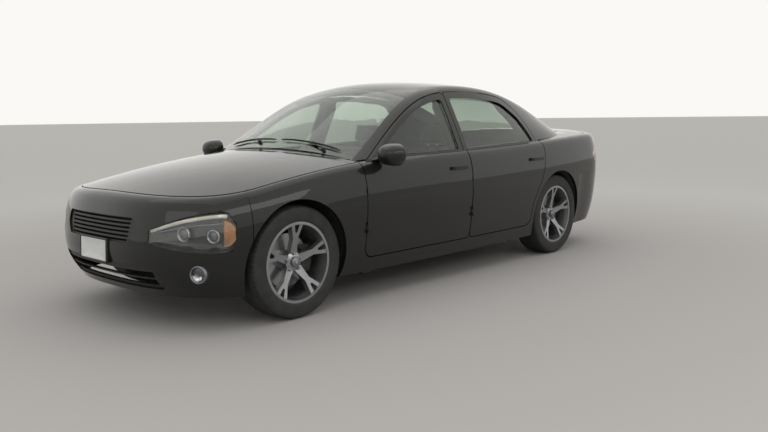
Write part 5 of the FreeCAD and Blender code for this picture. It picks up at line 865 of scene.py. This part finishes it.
padded_piece("rear_seat_back", [
    pad((0, 1.152, 0.668), (0.588, 0.225, 0.050), REAR_UPRIGHT, 0.2, 0.12, bench_seams, 72)])
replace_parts(bench, "rear_seat")
RISER_LAYERS = ((0.0, 0.585, 0.052, 0.02), (0.050, 0.585, 0.052, 0.02), (0.060, 0.575, 0.045, 0.02))
piece("rear_seat_riser", plate_layers(RISER_LAYERS, (0, 0.628, 0.275), (0, -1, 0)), CARPET)

RAIL_PROFILE = ((-0.012, -0.02), (0.012, -0.02), (0.012, 0.014), (0.004, 0.02), (-0.004, 0.02), (-0.012, 0.014))
posts, rails = [], []
for x in SEATS:
    for offset in (-0.045, 0.045):
        posts.append(swept([(x + offset, y, z) for y, z in ((0.262, 0.905), (0.283, 0.965), (0.292, 0.990))],
                           round_profile(0.006, 12), (1, 0, 0)))
    for offset in (-0.155, 0.155):
        rails.append(swept([(x + offset, y, z) for y, z in ((-0.395, 0.236), (-0.1, 0.232), (0.145, 0.230))],
                           RAIL_PROFILE, (1, 0, 0)))
piece("headrest_posts", joined(posts), CHROME)
piece("front_seat_rails", joined(rails), STEEL)


def block(centre, half, corner, edge, way):
    """Block with rounded corners and softened front and back edges."""
    layers = [(forward, half[0] - inset, half[1] - inset, corner) for forward, inset in
              ((-half[2], edge), (-half[2] + edge, 0.0), (half[2] - edge, 0.0), (half[2], edge))]
    return plate_layers(layers, centre, way)


bases = [block((x, -0.150, 0.292), (0.205, 0.205, 0.036), 0.03, 0.010, (0, 0.0001, 1)) for x in SEATS]
piece("front_seat_bases", joined(bases), TRIM)
covers = [block((x + way * 0.246, 0.010, 0.375), (0.105, 0.038, 0.008), 0.02, 0.004, (way, 0, 0))
          for x in SEATS for way in (-1, 1)]
piece("seat_side_covers", joined(covers), BLACK)

# Dashboard trim, at heights and places of the dashboard's rear face
DASH_FACE, VENT_Z, VENT_HALF = (0, 0.95, 0.31), 0.884, 0.044
VENT_LAYERS = ((-0.01, 0.052, 0.026, 0.010), (0.004, 0.052, 0.026, 0.010), (0.006, 0.050, 0.024, 0.009),
               (0.006, 0.045, 0.019, 0.006), (-0.004, 0.044, 0.018, 0.006))
FACE_LAYERS = ((-0.004, 0.150, 0.020, 0.016), (0.002, 0.150, 0.020, 0.016), (0.003, 0.146, 0.017, 0.014))
LEVER_PROFILE = ((0.0, 0.0), (0.0, 0.040), (0.012, 0.034), (0.030, 0.022), (0.050, 0.008), (0.095, 0.0075),
                 (0.102, 0.020), (0.118, 0.026), (0.136, 0.023), (0.146, 0.012), (0.149, 0.0))
vents, slats = [], []
for x in (0.595, 0.100, -0.100, -0.595):
    vents.append(plate_layers(VENT_LAYERS, (x, -0.686, VENT_Z), DASH_FACE))
    for lift in (-0.010, 0.0, 0.010):
        line = [(x + across, -0.684, VENT_Z + lift) for across in (-VENT_HALF, 0, VENT_HALF)]
        slats.append(swept(line, round_profile(0.0022, 8), (0, 0, 1)))
piece("dash_vents", joined(vents), GLOSS_BLACK)
piece("dash_vent_slats", joined(slats), SATIN)
piece("instrument_hood", pillow((SEAT_X, -0.735, 0.935), (0.175, 0.085, 0.034), 0.6), TRIM)
piece("instrument_face", plate_layers(FACE_LAYERS, (SEAT_X, -0.652, 0.938), (0, 1, 0.1)), GLOSS_BLACK)
trim_line = [(x, -0.6765, 0.852) for x in np.linspace(-0.66, 0.66, 60)]
piece("dash_trim_strip", swept(trim_line, round_profile(0.0045, 10), (0, 0, 1)), SATIN)
piece("gear_lever", turned(LEVER_PROFILE, (0, -0.43, 0.418), (0, 0.10, 1), 40), BLACK)
padded_piece("console_armrest", [pad((0, 0.01, 0.447), (0.088, 0.120, 0.024), LEVEL, 0.2)])


# ---------- floor, light and camera ----------
def stage_finish(name, shaded_near, far):
    """Floor: matt, its tone going from near to far by a smooth step of the distance from the car's middle, with a
    slight drift; the darker near tone is painted shade round the car, the far tone is the floor's own pale colour.
    """
    material = finish(name, shaded_near, 0.75, tone_scale=0.8, spread=0.05)
    tree = material.node_tree
    shader = tree.nodes["Principled BSDF"]
    shader.inputs["Specular IOR Level"].default_value = 0.15
    ramp = shader.inputs["Base Color"].links[0].from_node
    drift = ramp.inputs["Fac"].links[0].from_socket
    reach = node(tree, "ShaderNodeVectorMath", operation="LENGTH")
    tree.links.new(node(tree, "ShaderNodeTexCoord").outputs["Object"], reach.inputs[0])
    span = node(tree, "ShaderNodeMapRange", interpolation_type="SMOOTHSTEP", in_From_Min=2.2, in_From_Max=7.5)
    tree.links.new(reach.outputs["Value"], span.inputs["Value"])
    tone = node(tree, "ShaderNodeMath", operation="MULTIPLY_ADD")
    tree.links.new(drift, tone.inputs[0])
    tone.inputs[1].default_value = 0.06
    tree.links.new(span.outputs["Result"], tone.inputs[2])
    tree.links.new(tone.outputs[0], ramp.inputs["Fac"])
    # The ramp runs from the darker near colour, painted shade round the car, to the floor's own paler far colour.
    for element, position, colour in zip(ramp.color_ramp.elements, (0.0, 1.0), (shaded_near, far)):
        element.position, element.color = position, (*colour, 1)
    return material


FLOOR_REACH = 250.0
floor_mesh = bpy.data.meshes.new("floor")
floor_mesh.from_pydata([(x * FLOOR_REACH, y * FLOOR_REACH, 0) for x, y in ((-1, -1), (1, -1), (1, 1), (-1, 1))], [],
                       [(0, 1, 2, 3)])
# Near colour darker than far: painted shade of the car on the floor.
floor_mesh.materials.append(stage_finish("pale_floor_painted_shade", (0.388, 0.374, 0.366), (0.535, 0.527, 0.508)))
floor = bpy.data.objects.new("floor", floor_mesh)
bpy.context.scene.collection.objects.link(floor)

world = bpy.data.worlds.new("studio")
bpy.context.scene.world = world
world.use_nodes = True
sky = world.node_tree
background = sky.nodes["Background"]
background.inputs["Color"].default_value = (0.955, 0.945, 0.915, 1)
rays = node(sky, "ShaderNodeLightPath")
seen = node(sky, "ShaderNodeMath", operation="MAXIMUM")
shown = node(sky, "ShaderNodeMath", operation="MAXIMUM")
level = node(sky, "ShaderNodeMapRange", in_To_Min=0.84, in_To_Max=1.0)
sky.links.new(rays.outputs["Is Camera Ray"], seen.inputs[0])
sky.links.new(rays.outputs["Is Transmission Ray"], seen.inputs[1])
sky.links.new(seen.outputs[0], shown.inputs[0])
sky.links.new(rays.outputs["Is Glossy Ray"], shown.inputs[1])
sky.links.new(shown.outputs[0], level.inputs["Value"])
sky.links.new(level.outputs["Result"], background.inputs["Strength"])


def softbox(name, place, target, width_m, height_m, power):
    """Rectangular soft lamp aimed at a point."""
    lamp = bpy.data.lights.new(name, "AREA")
    lamp.shape = "RECTANGLE"
    lamp.size, lamp.size_y, lamp.energy = width_m, height_m, power
    thing = bpy.data.objects.new(name, lamp)
    bpy.context.scene.collection.objects.link(thing)
    way = np.array(target, float) - np.array(place, float)
    thing.location = place
    thing.rotation_mode = "QUATERNION"
    thing.rotation_quaternion = Vector(way).to_track_quat("-Z", "Y")


softbox("ceiling", (0.0, 0.0, 5.2), (0, 0, 0), 7.0, 9.0, 90)
softbox("left_strip", (5.5, -1.0, 2.6), (0.9, 0, 0.7), 7.0, 1.0, 40)
softbox("nose_fill", (1.5, -7.5, 3.0), (0, -2.0, 0.6), 4.0, 2.0, 22)

# Camera: its place, angles and focal length were fitted to the photo
CAMERA_PLACE, LENS_MM, SENSOR_MM = (4.24, -4.43, 1.17), 36.1, 36.0
camera_data = bpy.data.cameras.new("photo_view")
camera_data.lens, camera_data.sensor_width = LENS_MM, SENSOR_MM
camera = bpy.data.objects.new("photo_view", camera_data)
bpy.context.scene.collection.objects.link(camera)
YAW, PITCH, ROLL = math.radians(-43.10), math.radians(-7.34), math.radians(-0.68)
aim = np.array([math.cos(PITCH) * math.sin(YAW), math.cos(PITCH) * math.cos(YAW), math.sin(PITCH)])
right = np.array([math.cos(YAW), -math.sin(YAW), 0.0])
above = np.cross(right, aim)
rolled_right = right * math.cos(ROLL) + above * math.sin(ROLL)
rolled_above = above * math.cos(ROLL) - right * math.sin(ROLL)
pose = np.eye(4)
pose[:3] = np.stack([rolled_right, rolled_above, -aim, CAMERA_PLACE], -1)
camera.matrix_world = Matrix(pose.tolist())
bpy.context.scene.camera = camera
bpy.context.scene.view_settings.view_transform = "Standard"
